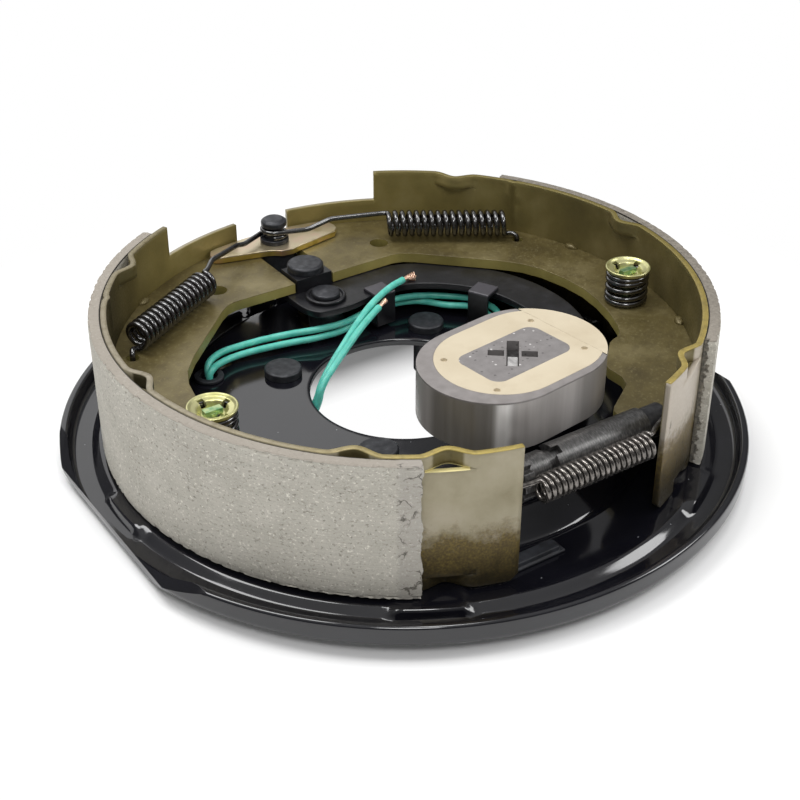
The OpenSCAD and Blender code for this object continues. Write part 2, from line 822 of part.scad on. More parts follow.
module slot_plug() {
    color("#1c1d20")
    {
        translate([-35, -113, land_z])
            cube([30.5, 7.2, 1.2]);
        translate([-33.2, -112.2, land_z + 1.2])
            cube([26.4, 5.4, 2]);
        translate([-32.9, -112.3, land_z - plate_t])
            cube([25.8, 5.4, plate_t]);
    }
}

module wire_grommet() {
    color("#151517")
    translate(grommet_xy)
        difference() {
            union() {
                translate([0, 0, dish_z])
                    cylinder(h = 1.6, r = 6.4, $fn = 32);
                translate([0, 0, dish_z - plate_t])
                    cylinder(h = plate_t, r = 5, $fn = 32);
                translate([0, 0, dish_z - plate_t - 1.6])
                    cylinder(h = 1.6, r = 6.4, $fn = 32);
            }
            translate([0, 0, 10])
                cylinder(h = 20, r = 3.6, $fn = 32);
        }
}

module lead_wire_a() {
    color("#6cc7bb")
    wire(lead_a, lead_r, 8);
}

module lead_wire_b() {
    color("#6cc7bb")
    wire(lead_b, lead_r, 8);
}

module lead_core_a() {
    color("#c98a58")
    wire(core_a, 1, 8);
}

module lead_core_b() {
    color("#c98a58")
    wire(core_b, 1, 8);
}

backing_plate();
mounting_studs();
anchor_post();
anchor_washer();
guide_plate();
arm_pivot_pin();
arm_pivot_washer();
actuating_arm();
cam_block();
cam_rivet();
magnet_post();
magnet_clip();
magnet_spring();
magnet_housing();
magnet_core();
magnet_coil();
magnet_face();
primary_web();
primary_table();
primary_lining();
secondary_web();
secondary_table();
secondary_lining();
primary_hold_pin();
primary_hold_cup();
primary_hold_spring();
secondary_hold_pin();
secondary_hold_cup();
secondary_hold_spring();
primary_return_spring();
secondary_return_spring();
adjuster_barrel();
adjuster_socket();
adjuster_fork();
adjuster_screw();
star_wheel();
adjuster_spring();
slot_plug();
wire_grommet();
lead_wire_a();
lead_wire_b();
lead_core_a();
lead_core_b();
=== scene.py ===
import bpy
import bmesh
import math
from contextlib import contextmanager
from mathutils import Matrix, Vector, noise


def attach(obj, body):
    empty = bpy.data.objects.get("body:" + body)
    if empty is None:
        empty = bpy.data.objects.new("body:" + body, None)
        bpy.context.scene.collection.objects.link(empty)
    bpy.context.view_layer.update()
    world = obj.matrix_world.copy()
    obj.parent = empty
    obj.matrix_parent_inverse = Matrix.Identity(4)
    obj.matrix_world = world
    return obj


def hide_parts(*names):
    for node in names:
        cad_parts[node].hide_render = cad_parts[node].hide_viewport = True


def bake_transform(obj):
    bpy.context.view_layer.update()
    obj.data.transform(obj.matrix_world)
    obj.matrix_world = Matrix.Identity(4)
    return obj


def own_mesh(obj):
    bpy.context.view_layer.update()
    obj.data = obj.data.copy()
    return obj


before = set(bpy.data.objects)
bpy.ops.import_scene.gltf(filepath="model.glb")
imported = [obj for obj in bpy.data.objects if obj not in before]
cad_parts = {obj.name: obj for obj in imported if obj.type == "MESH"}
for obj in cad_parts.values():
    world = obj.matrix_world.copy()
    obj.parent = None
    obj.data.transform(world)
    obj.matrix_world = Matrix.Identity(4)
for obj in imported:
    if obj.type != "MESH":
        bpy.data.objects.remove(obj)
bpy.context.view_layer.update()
print("frame loaded")

mm = 0.001
samePoint, sameCorner, flatBend = 2e-6, 5e-6, 1.0      # metres, metres, degrees


# camera, fitted to the rings in the photo

view = {
    "from": (-290.4, -427.6, 340.0), "at": (-17.8, -23.4, 34.0),      # mm in the frame
    "lens": 64.87, "sensor": 36, "clip": 0.02,
}

camera = bpy.data.objects.new("camera", bpy.data.cameras.new("camera"))
bpy.context.scene.collection.objects.link(camera)
camera.data.lens = view["lens"]
camera.data.sensor_width = view["sensor"]
camera.data.clip_start = view["clip"]
camera.location = Vector(view["from"]) * mm
camera.rotation_euler = (Vector(view["at"]) - Vector(view["from"])).to_track_quat("-Z", "Y").to_euler()
bpy.context.scene.camera = camera
bpy.context.scene.view_settings.view_transform = "Standard"


def hexColor(text):
    # an sRGB colour as text, turned into the linear one that nodes take
    parts = [int(text[i:i + 2], 16) / 255 for i in (1, 3, 5)]
    return tuple(c / 12.92 if c <= 0.04045 else ((c + 0.055) / 1.055) ** 2.4 for c in parts) + (1,)


class Nodes:
    # one node tree, with its helpers; a colour is given as text
    def __init__(self, tree):
        self.tree = tree

    def put(self, kind, inputs=None, **settings):
        made = self.tree.nodes.new(kind)
        for name, value in settings.items():
            setattr(made, name, value)
        for name, value in (inputs or {}).items():
            self.feed(made.inputs[name], value)
        return made

    def feed(self, socket, value):
        if isinstance(value, bpy.types.NodeSocket):
            self.tree.links.new(value, socket)
        elif value is not None:
            socket.default_value = hexColor(value) if isinstance(value, str) else value

    def give(self, **values):
        for key, value in values.items():
            self.feed(self.surface.inputs[key.replace("_", " ")], value)

    def ramp(self, value, stops, interpolation="LINEAR"):
        made = self.put("ShaderNodeValToRGB", {"Fac": value})
        elements = made.color_ramp.elements
        made.color_ramp.interpolation = interpolation
        while len(elements) < len(stops):
            elements.new(0.5)
        for element, (place, color) in zip(elements, stops):
            element.position = place
            element.color = hexColor(color) if isinstance(color, str) else (color, color, color, 1)
        return made.outputs["Color"]

    def grain(self, size, detail=2.0, stretch=None, roughness=0.5, place=None):
        # size is the pattern's grain in millimetres
        place = self.place if place is None else place
        if stretch:
            place = self.put("ShaderNodeMapping", {"Vector": place, "Scale": stretch}).outputs[0]
        return self.put("ShaderNodeTexNoise", {"Vector": place, "Scale": 1000 / size, "Detail": detail,
                                               "Roughness": roughness}).outputs["Fac"]

    def blend(self, fac, a, b, mode="MIX"):
        return self.put("ShaderNodeMix", {0: fac, 6: a, 7: b}, data_type="RGBA", blend_type=mode).outputs[2]

    def maths(self, operation, a, b=None):
        return self.put("ShaderNodeMath", {0: a, 1: b}, operation=operation).outputs[0]

    def times(self, a, b):
        return self.maths("MULTIPLY", a, b)

    def near(self, value, spot, reach):
        return self.maths("LESS_THAN", self.maths("ABSOLUTE", self.maths("SUBTRACT", value, spot)), reach)

    def spread(self, value, low, high, newLow=0.0, newHigh=1.0):
        return self.put("ShaderNodeMapRange", {"Value": value, "From Min": low, "From Max": high,
                                               "To Min": newLow, "To Max": newHigh}).outputs["Result"]

    def along(self, axis, low, high, newLow=0.0, newHigh=1.0):
        return self.spread(self.axis(axis), low, high, newLow, newHigh)

    def apart(self, spot):
        # how far from a spot, in metres
        made = self.put("ShaderNodeVectorMath", {0: self.place, 1: spot}, operation="DISTANCE")
        return made.outputs["Value"]

    def relief(self, height, depth, normal=None):
        # depth is the height of the relief in millimetres
        bump = self.put("ShaderNodeBump", {"Height": height, "Strength": 1.0, "Distance": depth * mm,
                                           "Normal": normal})
        self.give(Normal=bump.outputs[0])
        return bump.outputs[0]

    def axis(self, name, of=None):
        return self.put("ShaderNodeSeparateXYZ", {"Vector": self.place if of is None else of}).outputs[name]

    def radius(self):
        x, y = self.axis("X"), self.axis("Y")
        return self.maths("SQRT", self.maths("ADD", self.times(x, x), self.times(y, y)))

    def turn(self, of=None):
        return self.maths("ARCTAN2", self.axis("Y", of), self.axis("X", of))


def material(name, **shader):
    made = bpy.data.materials.new(name)
    made.use_nodes = True
    m = Nodes(made.node_tree)
    m.made, m.surface = made, m.tree.nodes["Principled BSDF"]
    m.place = m.put("ShaderNodeTexCoord").outputs["Object"]
    m.give(**shader)
    return m


# gloss black enamel on pressed steel: deep, wet looking, with a little dust and orange peel
def glossEnamel():
    m = material("glossEnamel", IOR=1.65)
    base = m.ramp(m.grain(26, 4), [(0.3, "#0c0c11"), (0.75, "#15151b")])
    cells = m.put("ShaderNodeTexVoronoi", {"Vector": m.place, "Scale": 1000 / 5})
    speck = m.maths("LESS_THAN", cells.outputs["Distance"], 0.05)
    lucky = m.maths("GREATER_THAN", m.axis("X", cells.outputs["Color"]), 0.66)
    color = m.blend(m.times(speck, lucky), base, "#8d8f93")
    m.give(Base_Color=color, Roughness=m.spread(m.grain(14, 3), 0.3, 0.8, 0.07, 0.16))
    m.relief(m.grain(6, 1), 0.012)
    return m.made


# oil-quenched stamped steel of the arm: dark grey, smooth, faint rolling marks
def stampedDarkSteel():
    m = material("stampedDarkSteel", Metallic=0.1)
    cloud = m.grain(9, 4)
    color = m.ramp(cloud, [(0.3, "#121215"), (0.55, "#1b1b1e"), (0.8, "#2a2a2e")])
    # painted highlight: the tabs' tops are painted paler, but not the pivot's disc nor the cam block beyond
    # it
    away = m.apart((-0.0015, 0.0595, 0.04))
    worn = m.times(m.along("Z", 0.0395, 0.0399), m.spread(away, 0.012, 0.013))
    worn = m.times(worn, m.along("Y", 0.062, 0.061))
    color = m.blend(worn, color, "#464449")
    # painted shade: the tab's leg below the right edge is painted near black
    away = m.apart((0.0547, 0.0224, 0.0285))
    leg = m.times(m.spread(away, 0.0145, 0.012), m.along("Z", 0.0378, 0.0366))
    color = m.blend(m.times(leg, 0.85), color, "#050506")
    m.give(Base_Color=color, Roughness=m.spread(m.grain(2.2, 3), 0.3, 0.75, 0.28, 0.42))
    m.relief(m.grain(1.1, 3), 0.02)
    return m.made


# yellow zinc passivate: pale gold with green and rose tints
def yellowPassivate():
    m = material("yellowPassivate", Metallic=0.8)
    tint = m.grain(9, 2)
    top = m.ramp(tint, [(0.3, "#b3a581"), (0.5, "#c6b99c"), (0.72, "#cdb49e")])
    rim = m.ramp(tint, [(0.3, "#b09846"), (0.5, "#d2ba66"), (0.72, "#d2a47e")])
    # the sheared edge of the guide plate keeps the deeper gold
    low = m.along("Z", 0.0469, 0.0465)
    color = m.blend(low, top, rim)
    # the hold-down cups' coat is greener
    cup = m.ramp(tint, [(0.3, "#b9b777"), (0.6, "#d0cd98")])
    color = m.blend(m.along("Z", 0.0535, 0.0545), color, cup)
    m.give(Base_Color=color, Roughness=m.spread(tint, 0.3, 0.75, 0.28, 0.36))
    return m.made


# olive chromate over pickled steel: brown-green webs with sheared edges burnished yellow
def oliveChromate():
    m = material("oliveChromate", Metallic=0.35)
    cloud = m.grain(22, 5)
    fine = m.grain(1.2, 3)
    color = m.ramp(cloud, [(0.25, "#50462a"), (0.5, "#665b37"), (0.72, "#7e734f")])
    stain = m.ramp(m.grain(5, 5), [(0.5, 0.0), (0.66, 1.0)])
    color = m.blend(m.times(stain, 0.35), color, "#4a3f26")
    color = m.blend(m.spread(fine, 0.55, 0.75, 0.0, 0.35), color, "#9a9168")
    edge = m.ramp(cloud, [(0.3, "#857a44"), (0.7, "#aea15e")])
    color = m.blend(m.along("Z", 0.0439, 0.0436), color, edge)
    m.give(Base_Color=color, Roughness=m.spread(fine, 0.3, 0.75, 0.3, 0.5))
    m.relief(m.grain(0.6, 3), 0.03)
    return m.made


# the shoe tables: same chromate, paler at the short shoe's end, browned by rust near the lower edge; painted
# shade and painted light on the inner faces
def tableChromate():
    m = material("tableChromate", Metallic=0.3)
    cloud, fine = m.grain(18, 5), m.grain(0.9, 4)
    outside = m.ramp(cloud, [(0.28, "#857d63"), (0.5, "#9a927a"), (0.75, "#aaa18d")])
    # painted shade: the inner faces take a darker copy of the chromate; the far table's inside gets a painted
    # lit copy, and the left table's inside painted shade darker still
    inside = m.ramp(cloud, [(0.28, "#51492b"), (0.5, "#645a35"), (0.75, "#786d48")])
    lit = m.ramp(cloud, [(0.28, "#75693c"), (0.5, "#877a47"), (0.75, "#998c5b")])
    inside = m.blend(m.along("Y", 0.03, 0.09), inside, lit)
    inside = m.blend(m.along("X", -0.06, -0.1, 0.0, 0.95), inside, "#3d3722")
    color = m.blend(m.spread(m.radius(), 0.1194, 0.1188), outside, inside)
    height = m.axis("Z")
    ragged = m.maths("ADD", height, m.spread(m.grain(5, 6, None, 0.7), 0.3, 0.7, -0.0045, 0.0045))
    rust = m.ramp(fine, [(0.3, "#43340f"), (0.55, "#5f4e1c"), (0.75, "#786729")])
    turn = m.turn()
    # the short shoe's end is paler and scratched
    tip = m.times(m.spread(turn, -0.93, -0.99), m.spread(turn, -1.5, -1.4))
    tip = m.times(tip, m.spread(m.radius(), 0.1188, 0.1194))
    color = m.blend(m.times(tip, 0.8), color, "#b1a79b")
    ragged = m.maths("SUBTRACT", ragged, m.times(tip, 0.006))
    color = m.blend(m.spread(ragged, 0.0395, 0.031, 0.0, 0.9), color, rust)
    scratch = m.ramp(m.grain(2.4, 5, (1, 1, 0.22), 0.7), [(0.6, 0.0), (0.66, 1.0)])
    scratch = m.times(scratch, m.spread(ragged, 0.047, 0.04))
    color = m.blend(m.times(tip, scratch), color, "#1f1a12")
    # darker still towards the bottom edge
    color = m.blend(m.spread(ragged, 0.029, 0.014, 0.0, 0.8), color, "#26231a")
    # sheared edges: beige at the back, gold at the front; a painted highlight on the lip under the nib
    sheared = m.ramp(m.spread(turn, -math.pi, math.pi), [
        (0.0, "#968d7a"), (0.1, "#988e74"), (0.17, "#a8954f"), (0.36, "#9c8a4a"), (0.48, "#72662f"),
        (0.75, "#72683f"), (1.0, "#968d7a")])
    sheared = m.blend(m.spread(m.grain(3, 4), 0.45, 0.7, 0.0, 0.45), sheared, "#5f5535")
    color = m.blend(m.spread(height, 0.0682, 0.0684), color, sheared)
    lip = m.times(m.near(turn, -2.045, 0.064), m.near(height, 0.0628, 0.00035))
    color = m.blend(lip, color, "#d9cd93")
    m.give(Base_Color=color, Roughness=m.spread(fine, 0.3, 0.75, 0.34, 0.55))
    m.relief(fine, 0.03)
    return m.made


# moulded friction material, ground to size: grey, gritty, fine grinding lines round the shoe
def frictionMix():
    m = material("frictionMix", Roughness=0.92)
    color = m.ramp(m.grain(16, 4), [(0.3, "#a8a49a"), (0.7, "#bab6ac")])
    lines = m.grain(5, 4, (0.25, 0.25, 11.0))
    color = m.blend(m.spread(lines, 0.42, 0.72, 0.0, 0.3), color, "#8a867b")
    dark = m.ramp(m.grain(1.5, 3, (1, 1, 1.5), 0.62), [(0.57, 0.0), (0.68, 1.0)])
    color = m.blend(m.times(dark, 0.75), color, "#645f56")
    away = m.put("ShaderNodeMapping", {"Vector": m.place, "Location": (0.31, 0.17, 0.05)}).outputs[0]
    pale = m.ramp(m.grain(1.3, 3, (1, 1, 1.4), 0.62, away), [(0.58, 0.0), (0.7, 1.0)])
    color = m.blend(m.times(pale, 0.85), color, "#e4e1d6")
    color = m.blend(m.spread(m.grain(0.5, 2), 0.35, 0.7, 0.0, 0.35), color, "#c3c0b4")
    # the sawn top face is smoother and darker, with a black glue line beside the table
    height = m.axis("Z")
    color = m.blend(m.spread(height, 0.0676, 0.0681, 0.0, 0.8), color, "#8f877d")
    right = m.times(m.spread(height, 0.0676, 0.0681, 0.0, 0.75), m.along("X", 0.04, 0.1))
    coarse = m.ramp(m.grain(2.2, 5, None, 0.7), [(0.35, "#4d473f"), (0.6, "#7b756b")])
    color = m.blend(right, color, coarse)
    glue = m.times(m.spread(m.radius(), 0.1217, 0.1214), m.spread(height, 0.0676, 0.068))
    color = m.blend(glue, color, "#1d1913")
    turn = m.turn()
    pitted = m.maths("ADD", m.radius(), m.spread(m.grain(2.2, 5), 0.3, 0.7, -0.0012, 0.0012))
    pitted = m.times(m.spread(pitted, 0.1234, 0.1228), m.near(turn, -0.936, 0.012))
    holes = m.ramp(m.grain(1.4, 4), [(0.38, "#1e1a14"), (0.62, "#6a6357")])
    color = m.blend(m.times(pitted, 0.85), color, holes)
    # the front end is drier and cracked
    end = m.times(m.spread(turn, -2.19, -2.175), m.spread(turn, -1.9, -2.0))
    warp = m.put("ShaderNodeTexNoise", {"Vector": m.place, "Scale": 260, "Detail": 3}).outputs["Color"]
    torn = m.put("ShaderNodeTexVoronoi", {"Vector": m.blend(0.006, m.place, warp), "Scale": 1000 / 6.5},
                 feature="DISTANCE_TO_EDGE").outputs["Distance"]
    crack = m.times(m.spread(torn, 0.05, 0.015), m.ramp(m.grain(7, 2), [(0.48, 0.0), (0.56, 1.0)]))
    color = m.blend(m.times(end, 0.45), color, "#9a958f")
    color = m.blend(m.times(end, m.times(crack, 0.8)), color, "#4a463f")
    m.give(Base_Color=color)
    first = m.relief(lines, 0.1)
    m.relief(m.grain(0.7, 3), 0.12, first)
    return m.made


# ground mild steel can of the magnet: satin, upright grinding streaks
def groundSteel():
    m = material("groundSteel")
    streak = m.grain(3, 3, (1.0, 1.0, 0.06))
    inner = m.put("ShaderNodeVectorMath", {0: m.place, 1: (0.0086, -0.0606, 0)}, operation="SUBTRACT")
    turn = m.turn(inner.outputs[0])
    # painted reflections: soft bands round the wall, set by the angle round the can, one of them near white
    bands = m.ramp(m.spread(turn, -math.pi, math.pi), [
        (0.0, "#c4c0bc"), (0.02, "#97938d"), (0.115, "#9c9892"), (0.123, "#fbf9f6"), (0.136, "#fbf9f6"),
        (0.148, "#b5b1ae"), (0.235, "#bab6b3"), (0.285, "#dedad7"), (0.32, "#b2aeab"), (0.4, "#a29e9b"),
        (0.6, "#b9b6b4"), (0.93, "#b1ada9"), (1.0, "#c4c0bc")])
    wall = m.blend(1.0, bands, m.ramp(streak, [(0.3, "#e6e4e3"), (0.8, "#ffffff")]), "MULTIPLY")
    top = m.along("Z", 0.0641, 0.0643)
    ground = m.ramp(m.grain(4, 4), [(0.3, "#827d7b"), (0.7, "#918c8a")])
    m.give(Base_Color=m.blend(top, wall, ground))
    m.give(Metallic=m.spread(top, 0, 1, 0.45, 0.25))
    rough = m.maths("ADD", m.spread(streak, 0.3, 0.75, 0.3, 0.36), m.times(top, 0.25))
    m.give(Roughness=rough)
    m.relief(streak, 0.003)
    return m.made


# sintered pole face: mid grey with pits, their spots painted darker as painted shade and a few near white as
# painted glints
def sinteredPole():
    m = material("sinteredPole", Metallic=0.3, Roughness=0.5)
    pits = m.put("ShaderNodeTexVoronoi", {"Vector": m.place, "Scale": 1000 / 2.5, "Randomness": 0.55})
    lucky = m.maths("GREATER_THAN", m.axis("X", pits.outputs["Color"]), 0.35)
    spot = m.times(m.maths("LESS_THAN", pits.outputs["Distance"], 0.2), lucky)
    shade = m.ramp(m.axis("Y", pits.outputs["Color"]), [
        (0.0, "#5c5959"), (0.55, "#6e6a6a"), (0.78, "#e0dddb")], "CONSTANT")
    base = m.ramp(m.grain(5, 3), [(0.3, "#817d7c"), (0.7, "#918d8c")])
    m.give(Base_Color=m.blend(m.times(spot, 0.75), base, shade))
    dents = m.times(m.maths("MINIMUM", pits.outputs["Distance"], 0.26), lucky)
    m.relief(m.grain(0.5, 3), 0.02, m.relief(dents, 0.5))
    return m.made


# cast resin friction face: cream, slightly rubbed and grubby
def creamResin():
    m = material("creamResin", Roughness=0.55)
    smudge = m.ramp(m.grain(9, 5), [(0.52, 0.0), (0.74, 1.0)])
    base = m.ramp(m.grain(20, 3), [(0.3, "#bfb299"), (0.7, "#c9bda5")])
    color = m.blend(m.times(smudge, 0.22), base, "#a8977b")
    fleck = m.ramp(m.grain(0.7, 2), [(0.74, 0.0), (0.8, 1.0)])
    color = m.blend(m.times(fleck, 0.35), color, "#7d7262")
    m.give(Base_Color=color)
    m.relief(m.grain(0.8, 3), 0.02)
    return m.made


def plainFinish(name, shader, grain, stops, rough=None, depth=None, own=None):
    # one grain gives the colour, the gloss and the relief, unless the relief has its own
    m = material(name, **shader)
    mark = m.grain(*grain)
    m.give(Base_Color=m.ramp(mark, stops))
    if rough:
        m.give(Roughness=m.spread(mark, *rough))
    if depth:
        m.relief(m.grain(*own) if own else mark, depth)
    return m.made


finish = {
    "enamel": glossEnamel(), "armSteel": stampedDarkSteel(), "yellow": yellowPassivate(),
    "olive": oliveChromate(), "table": tableChromate(), "lining": frictionMix(), "can": groundSteel(),
    "pole": sinteredPole(), "cream": creamResin(),
    # black oxide on forged heads and posts: soft sheen with rubbed spots
    "oxide": plainFinish("blackOxide", {"Metallic": 0.35}, (3.2, 4), [
        (0.3, "#222327"), (0.62, "#36373b"), (0.85, "#55565a")], (0.3, 0.8, 0.52, 0.3), 0.04, (0.8, 3)),
    # phosphated spring wire: near black, oily sheen
    "springs": plainFinish("springBlack", {"IOR": 2.1}, (2.0, 3), [(0.3, "#0a0909"), (0.7, "#1b1717")],
                           (0.3, 0.75, 0.12, 0.22)),
    # drawn wire, zinc coated: mid grey, mottled at random
    "wire": plainFinish("drawnWire", {"Metallic": 0.9}, (1.6, 3), [(0.3, "#55524f"), (0.7, "#8d8883")],
                        (0.3, 0.75, 0.16, 0.28)),
    # bright nickel of the clip's tongue: pale, brushed
    "tongue": plainFinish("paleNickel", {"Metallic": 0.4, "Roughness": 0.4}, (1.2, 3, (1.0, 0.3, 1.0)), [
        (0.3, "#a3a1a0"), (0.7, "#cbc9c7")]),
    # enamelled copper winding under the face: brown, in even turns
    "winding": plainFinish("windingCopper", {"Metallic": 0.7, "Roughness": 0.35}, (1.2, 1, (0.2, 0.2, 3.0)), [
        (0.35, "#7a3f1f"), (0.65, "#b4622f")]),
    # bright zinc on turned steel: adjuster and clip, faint turning marks
    "zinc": plainFinish("brightZinc", {"Metallic": 0.85}, (1.0, 3, (2.5, 0.6, 0.6)), [
        (0.3, "#4c4b4b"), (0.55, "#646362"), (0.8, "#858483")], (0.3, 0.75, 0.28, 0.44), 0.015),
    # phosphated forks, pins and posts: dark grey, dull
    "dark": plainFinish("phosphateSteel", {"Metallic": 0.5}, (1.8, 4), [(0.3, "#242426"), (0.7, "#3e3e40")],
                        (0.3, 0.75, 0.34, 0.52), 0.02),
    # green tinted zinc on the hold-down pins
    "greenZinc": plainFinish("greenZinc", {"Metallic": 0.75, "Roughness": 0.32}, (2.5, 3), [
        (0.3, "#5f9468"), (0.6, "#a8bf8c"), (0.8, "#c9c78f")]),
    # soft vinyl insulation: teal green, handling marks
    "teal": plainFinish("tealVinyl", {
        "Roughness": 0.38, "Subsurface_Weight": 0.12, "Subsurface_Scale": 0.002}, (4, 4), [
        (0.3, "#49b3a2"), (0.7, "#68c8b8")], None, 0.01, (1.1, 2)),
    # bare copper strands: pale and bright
    "copper": plainFinish("bareCopper", {"Metallic": 0.9, "Roughness": 0.34}, (1.2, 3), [
        (0.3, "#dca98a"), (0.7, "#ffe3d0")]),
    # moulded rubber: matt black with a faint bloom
    "rubber": plainFinish("mouldedRubber", {"Roughness": 0.6}, (3.0, 4), [
        (0.35, "#15161a"), (0.75, "#2b2d33")], None, 0.02, (0.6, 2)),
}
print("finishes made")


# shared makers

def link(name, mesh):
    made = bpy.data.objects.new(name, mesh)
    bpy.context.scene.collection.objects.link(made)
    return made


def meshFrom(name, points, faces):
    mesh = bpy.data.meshes.new(name)
    mesh.from_pydata([Vector(p) * mm for p in points], [], faces)
    mesh.update()
    return mesh


@contextmanager
def opened(mesh):
    # a mesh opened for changes, which are written back at the end
    work = bmesh.new()
    work.from_mesh(mesh)
    yield work
    work.to_mesh(mesh)
    work.free()


def outward(mesh):
    with opened(mesh) as work:
        bmesh.ops.remove_doubles(work, verts=work.verts, dist=samePoint)
        bmesh.ops.recalc_face_normals(work, faces=work.faces)
    return mesh


def placed(spot, turn):
    # from a piece's own axes to the frame, in mm and degrees
    return Matrix.Translation((spot[0], spot[1], 0)) @ Matrix.Rotation(math.radians(turn), 4, "Z")


def flatPoints(place, corners):
    return [tuple((place @ Vector((x, y, 0)))[:2]) for x, y in corners]


def polar(radius, degrees):
    return radius * math.cos(math.radians(degrees)), radius * math.sin(math.radians(degrees))


def smoothed(mesh, angle):
    mesh.shade_smooth()
    mesh.set_sharp_from_angle(angle=math.radians(angle))
    return mesh


def baked(thing):
    # the evaluated object becomes a plain mesh and its modifiers go
    depsgraph = bpy.context.evaluated_depsgraph_get()
    mesh = bpy.data.meshes.new_from_object(thing.evaluated_get(depsgraph))
    thing.modifiers.clear()
    old = thing.data
    thing.data = mesh
    if old.users == 0:
        bpy.data.meshes.remove(old)
    return thing


def finished(thing, body, surface, node):
    # body is one name, or a tuple of two names and two spots in mm, which are not used: such a piece is left
    # unattached with its place baked in
    thing.data.materials.clear()
    thing.data.materials.append(surface)
    if isinstance(body, tuple):
        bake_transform(thing)
    else:
        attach(thing, body)
    if node:
        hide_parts(node)
    return thing


def easedEdges(thing, width, angle=32):
    ease = thing.modifiers.new("easedEdges", "BEVEL")
    ease.width = width * mm
    ease.segments = 2
    ease.limit_method = "ANGLE"
    ease.angle_limit = math.radians(angle)
    ease.miter_outer = "MITER_ARC"
    ease.use_clamp_overlap = True
    even = thing.modifiers.new("evenNormals", "WEIGHTED_NORMAL")
    even.keep_sharp = False


def copyOf(node, name):
    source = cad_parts[node]
    mesh = source.data.copy()
    mesh.transform(source.matrix_world)
    return link(name, outward(mesh))


def loft(name, points):
    # two rings of as many points, joined and closed
    count = len(points) // 2
    faces = [tuple(range(count - 1, -1, -1)), tuple(range(count, 2 * count))]
    faces += [(i, (i + 1) % count, (i + 1) % count + count, i + count) for i in range(count)]
    return link(name, outward(meshFrom(name, points, faces)))


def prism(name, outline, low, high):
    return loft(name, [(x, y, z) for z in (low, high) for x, y in outline])


def roundRod(name, x, y, radius, low, high, steps=64):
    angles = [math.tau * k / steps for k in range(steps)]
    return prism(name, [(x + radius * math.cos(a), y + radius * math.sin(a)) for a in angles], low, high)


def cutBy(thing, cutters, operation="DIFFERENCE"):
    for cutter in cutters:
        cut = thing.modifiers.new("cut", "BOOLEAN")
        cut.operation = operation
        cut.solver = "EXACT"
        cut.object = cutter
    baked(thing)
    for cutter in cutters:
        bpy.data.meshes.remove(cutter.data)
    return thing


def eased(thing, width, angle=32):
    # edges eased on a merged mesh, then made plain
    with opened(thing.data) as work:
        bmesh.ops.remove_doubles(work, verts=work.verts, dist=sameCorner)
        bmesh.ops.dissolve_limit(work, angle_limit=math.radians(flatBend), verts=work.verts, edges=work.edges)
        bmesh.ops.recalc_face_normals(work, faces=work.faces)
        for face in work.faces:
            face.smooth = True
    easedEdges(thing, width, angle)
    return baked(thing)


def turned(profile, steps):
    # profile points (radius, height) in mm, swung round Z
    count = len(profile)
    points, faces = [], []
    for k in range(steps):
        a = 2 * math.pi * k / steps
        points += [(r * math.cos(a), r * math.sin(a), z) for r, z in profile]
    for k in range(steps):
        n = (k + 1) % steps
        for i in range(count):
            j = (i + 1) % count
            faces.append((k * count + i, n * count + i, n * count + j, k * count + j))
    return points, faces


def turnedMesh(name, corners, pitch, steps, spot):
    points, faces = turned(filleted(corners, pitch), steps)
    return link(name, outward(meshFrom(name, [(x + spot[0], y + spot[1], z) for x, y, z in points], faces)))


def filleted(corners, pitch):
    # corners (radius, height, fillet radius), closed; returns evenly spaced points on it
    out = []
    count = len(corners)
    for i in range(count):
        a, b, c = (Vector(corners[(i + d) % count][:2]) for d in (-1, 0, 1))
        size = corners[i][2]
        u, w = (a - b).normalized(), (c - b).normalized()
        half = u.angle(w) / 2
        longest = 0.49 * min((a - b).length, (c - b).length)
        reach = min(size / math.tan(half), longest)
        radius = reach * math.tan(half)
        start, end = b + u * reach, b + w * reach
        centre = b + (u + w).normalized() * (radius / math.sin(half))
        steps = min(9, max(2, int(math.ceil((math.pi - 2 * half) * radius / (pitch * 0.7))) + 1))
        p, q = start - centre, end - centre
        for k in range(steps + 1):
            t = k / steps
            v = (p * (1 - t) + q * t).normalized() * radius
            out.append(tuple(centre + v))
    dense = []
    for i, p in enumerate(out):
        q = out[(i + 1) % len(out)]
        parts = max(1, int(math.ceil(math.dist(p, q) / (pitch * 2.2))))
        for k in range(parts):
            dense.append((p[0] + (q[0] - p[0]) * k / parts, p[1] + (q[1] - p[1]) * k / parts))
    return dense


def smoothStep(low, high, value):
    t = min(1.0, max(0.0, (value - low) / (high - low)))
    return t * t * (3 - 2 * t)


def smoothRun(points, between):
    # a smooth line past all points but the first and the last two
    out = []
    for i in range(1, len(points) - 2):
        p0, p1, p2, p3 = (Vector(points[i + d]) for d in (-1, 0, 1, 2))
        for k in range(between):
            t = k / between
            out.append(0.5 * ((2 * p1) + (p2 - p0) * t + (2 * p0 - 5 * p1 + 4 * p2 - p3) * t * t
                              + (3 * p1 - p0 - 3 * p2 + p3) * t ** 3))
    return out


def throughPoints(points, between):
    return smoothRun([points[0], *points, points[-1]], between) + [Vector(points[-1])]


def helixPoints(start, end, radius, turns, up, steps):
    a, b = Vector(start), Vector(end)
    along = (b - a).normalized()
    first = Vector(up)
    side = along.cross(first)
    count = round(turns * steps)
    swung = [2 * math.pi * turns * i / count for i in range(count + 1)]
    return [a + (b - a) * i / count + radius * (first * math.cos(t) + side * math.sin(t))
            for i, t in enumerate(swung)]


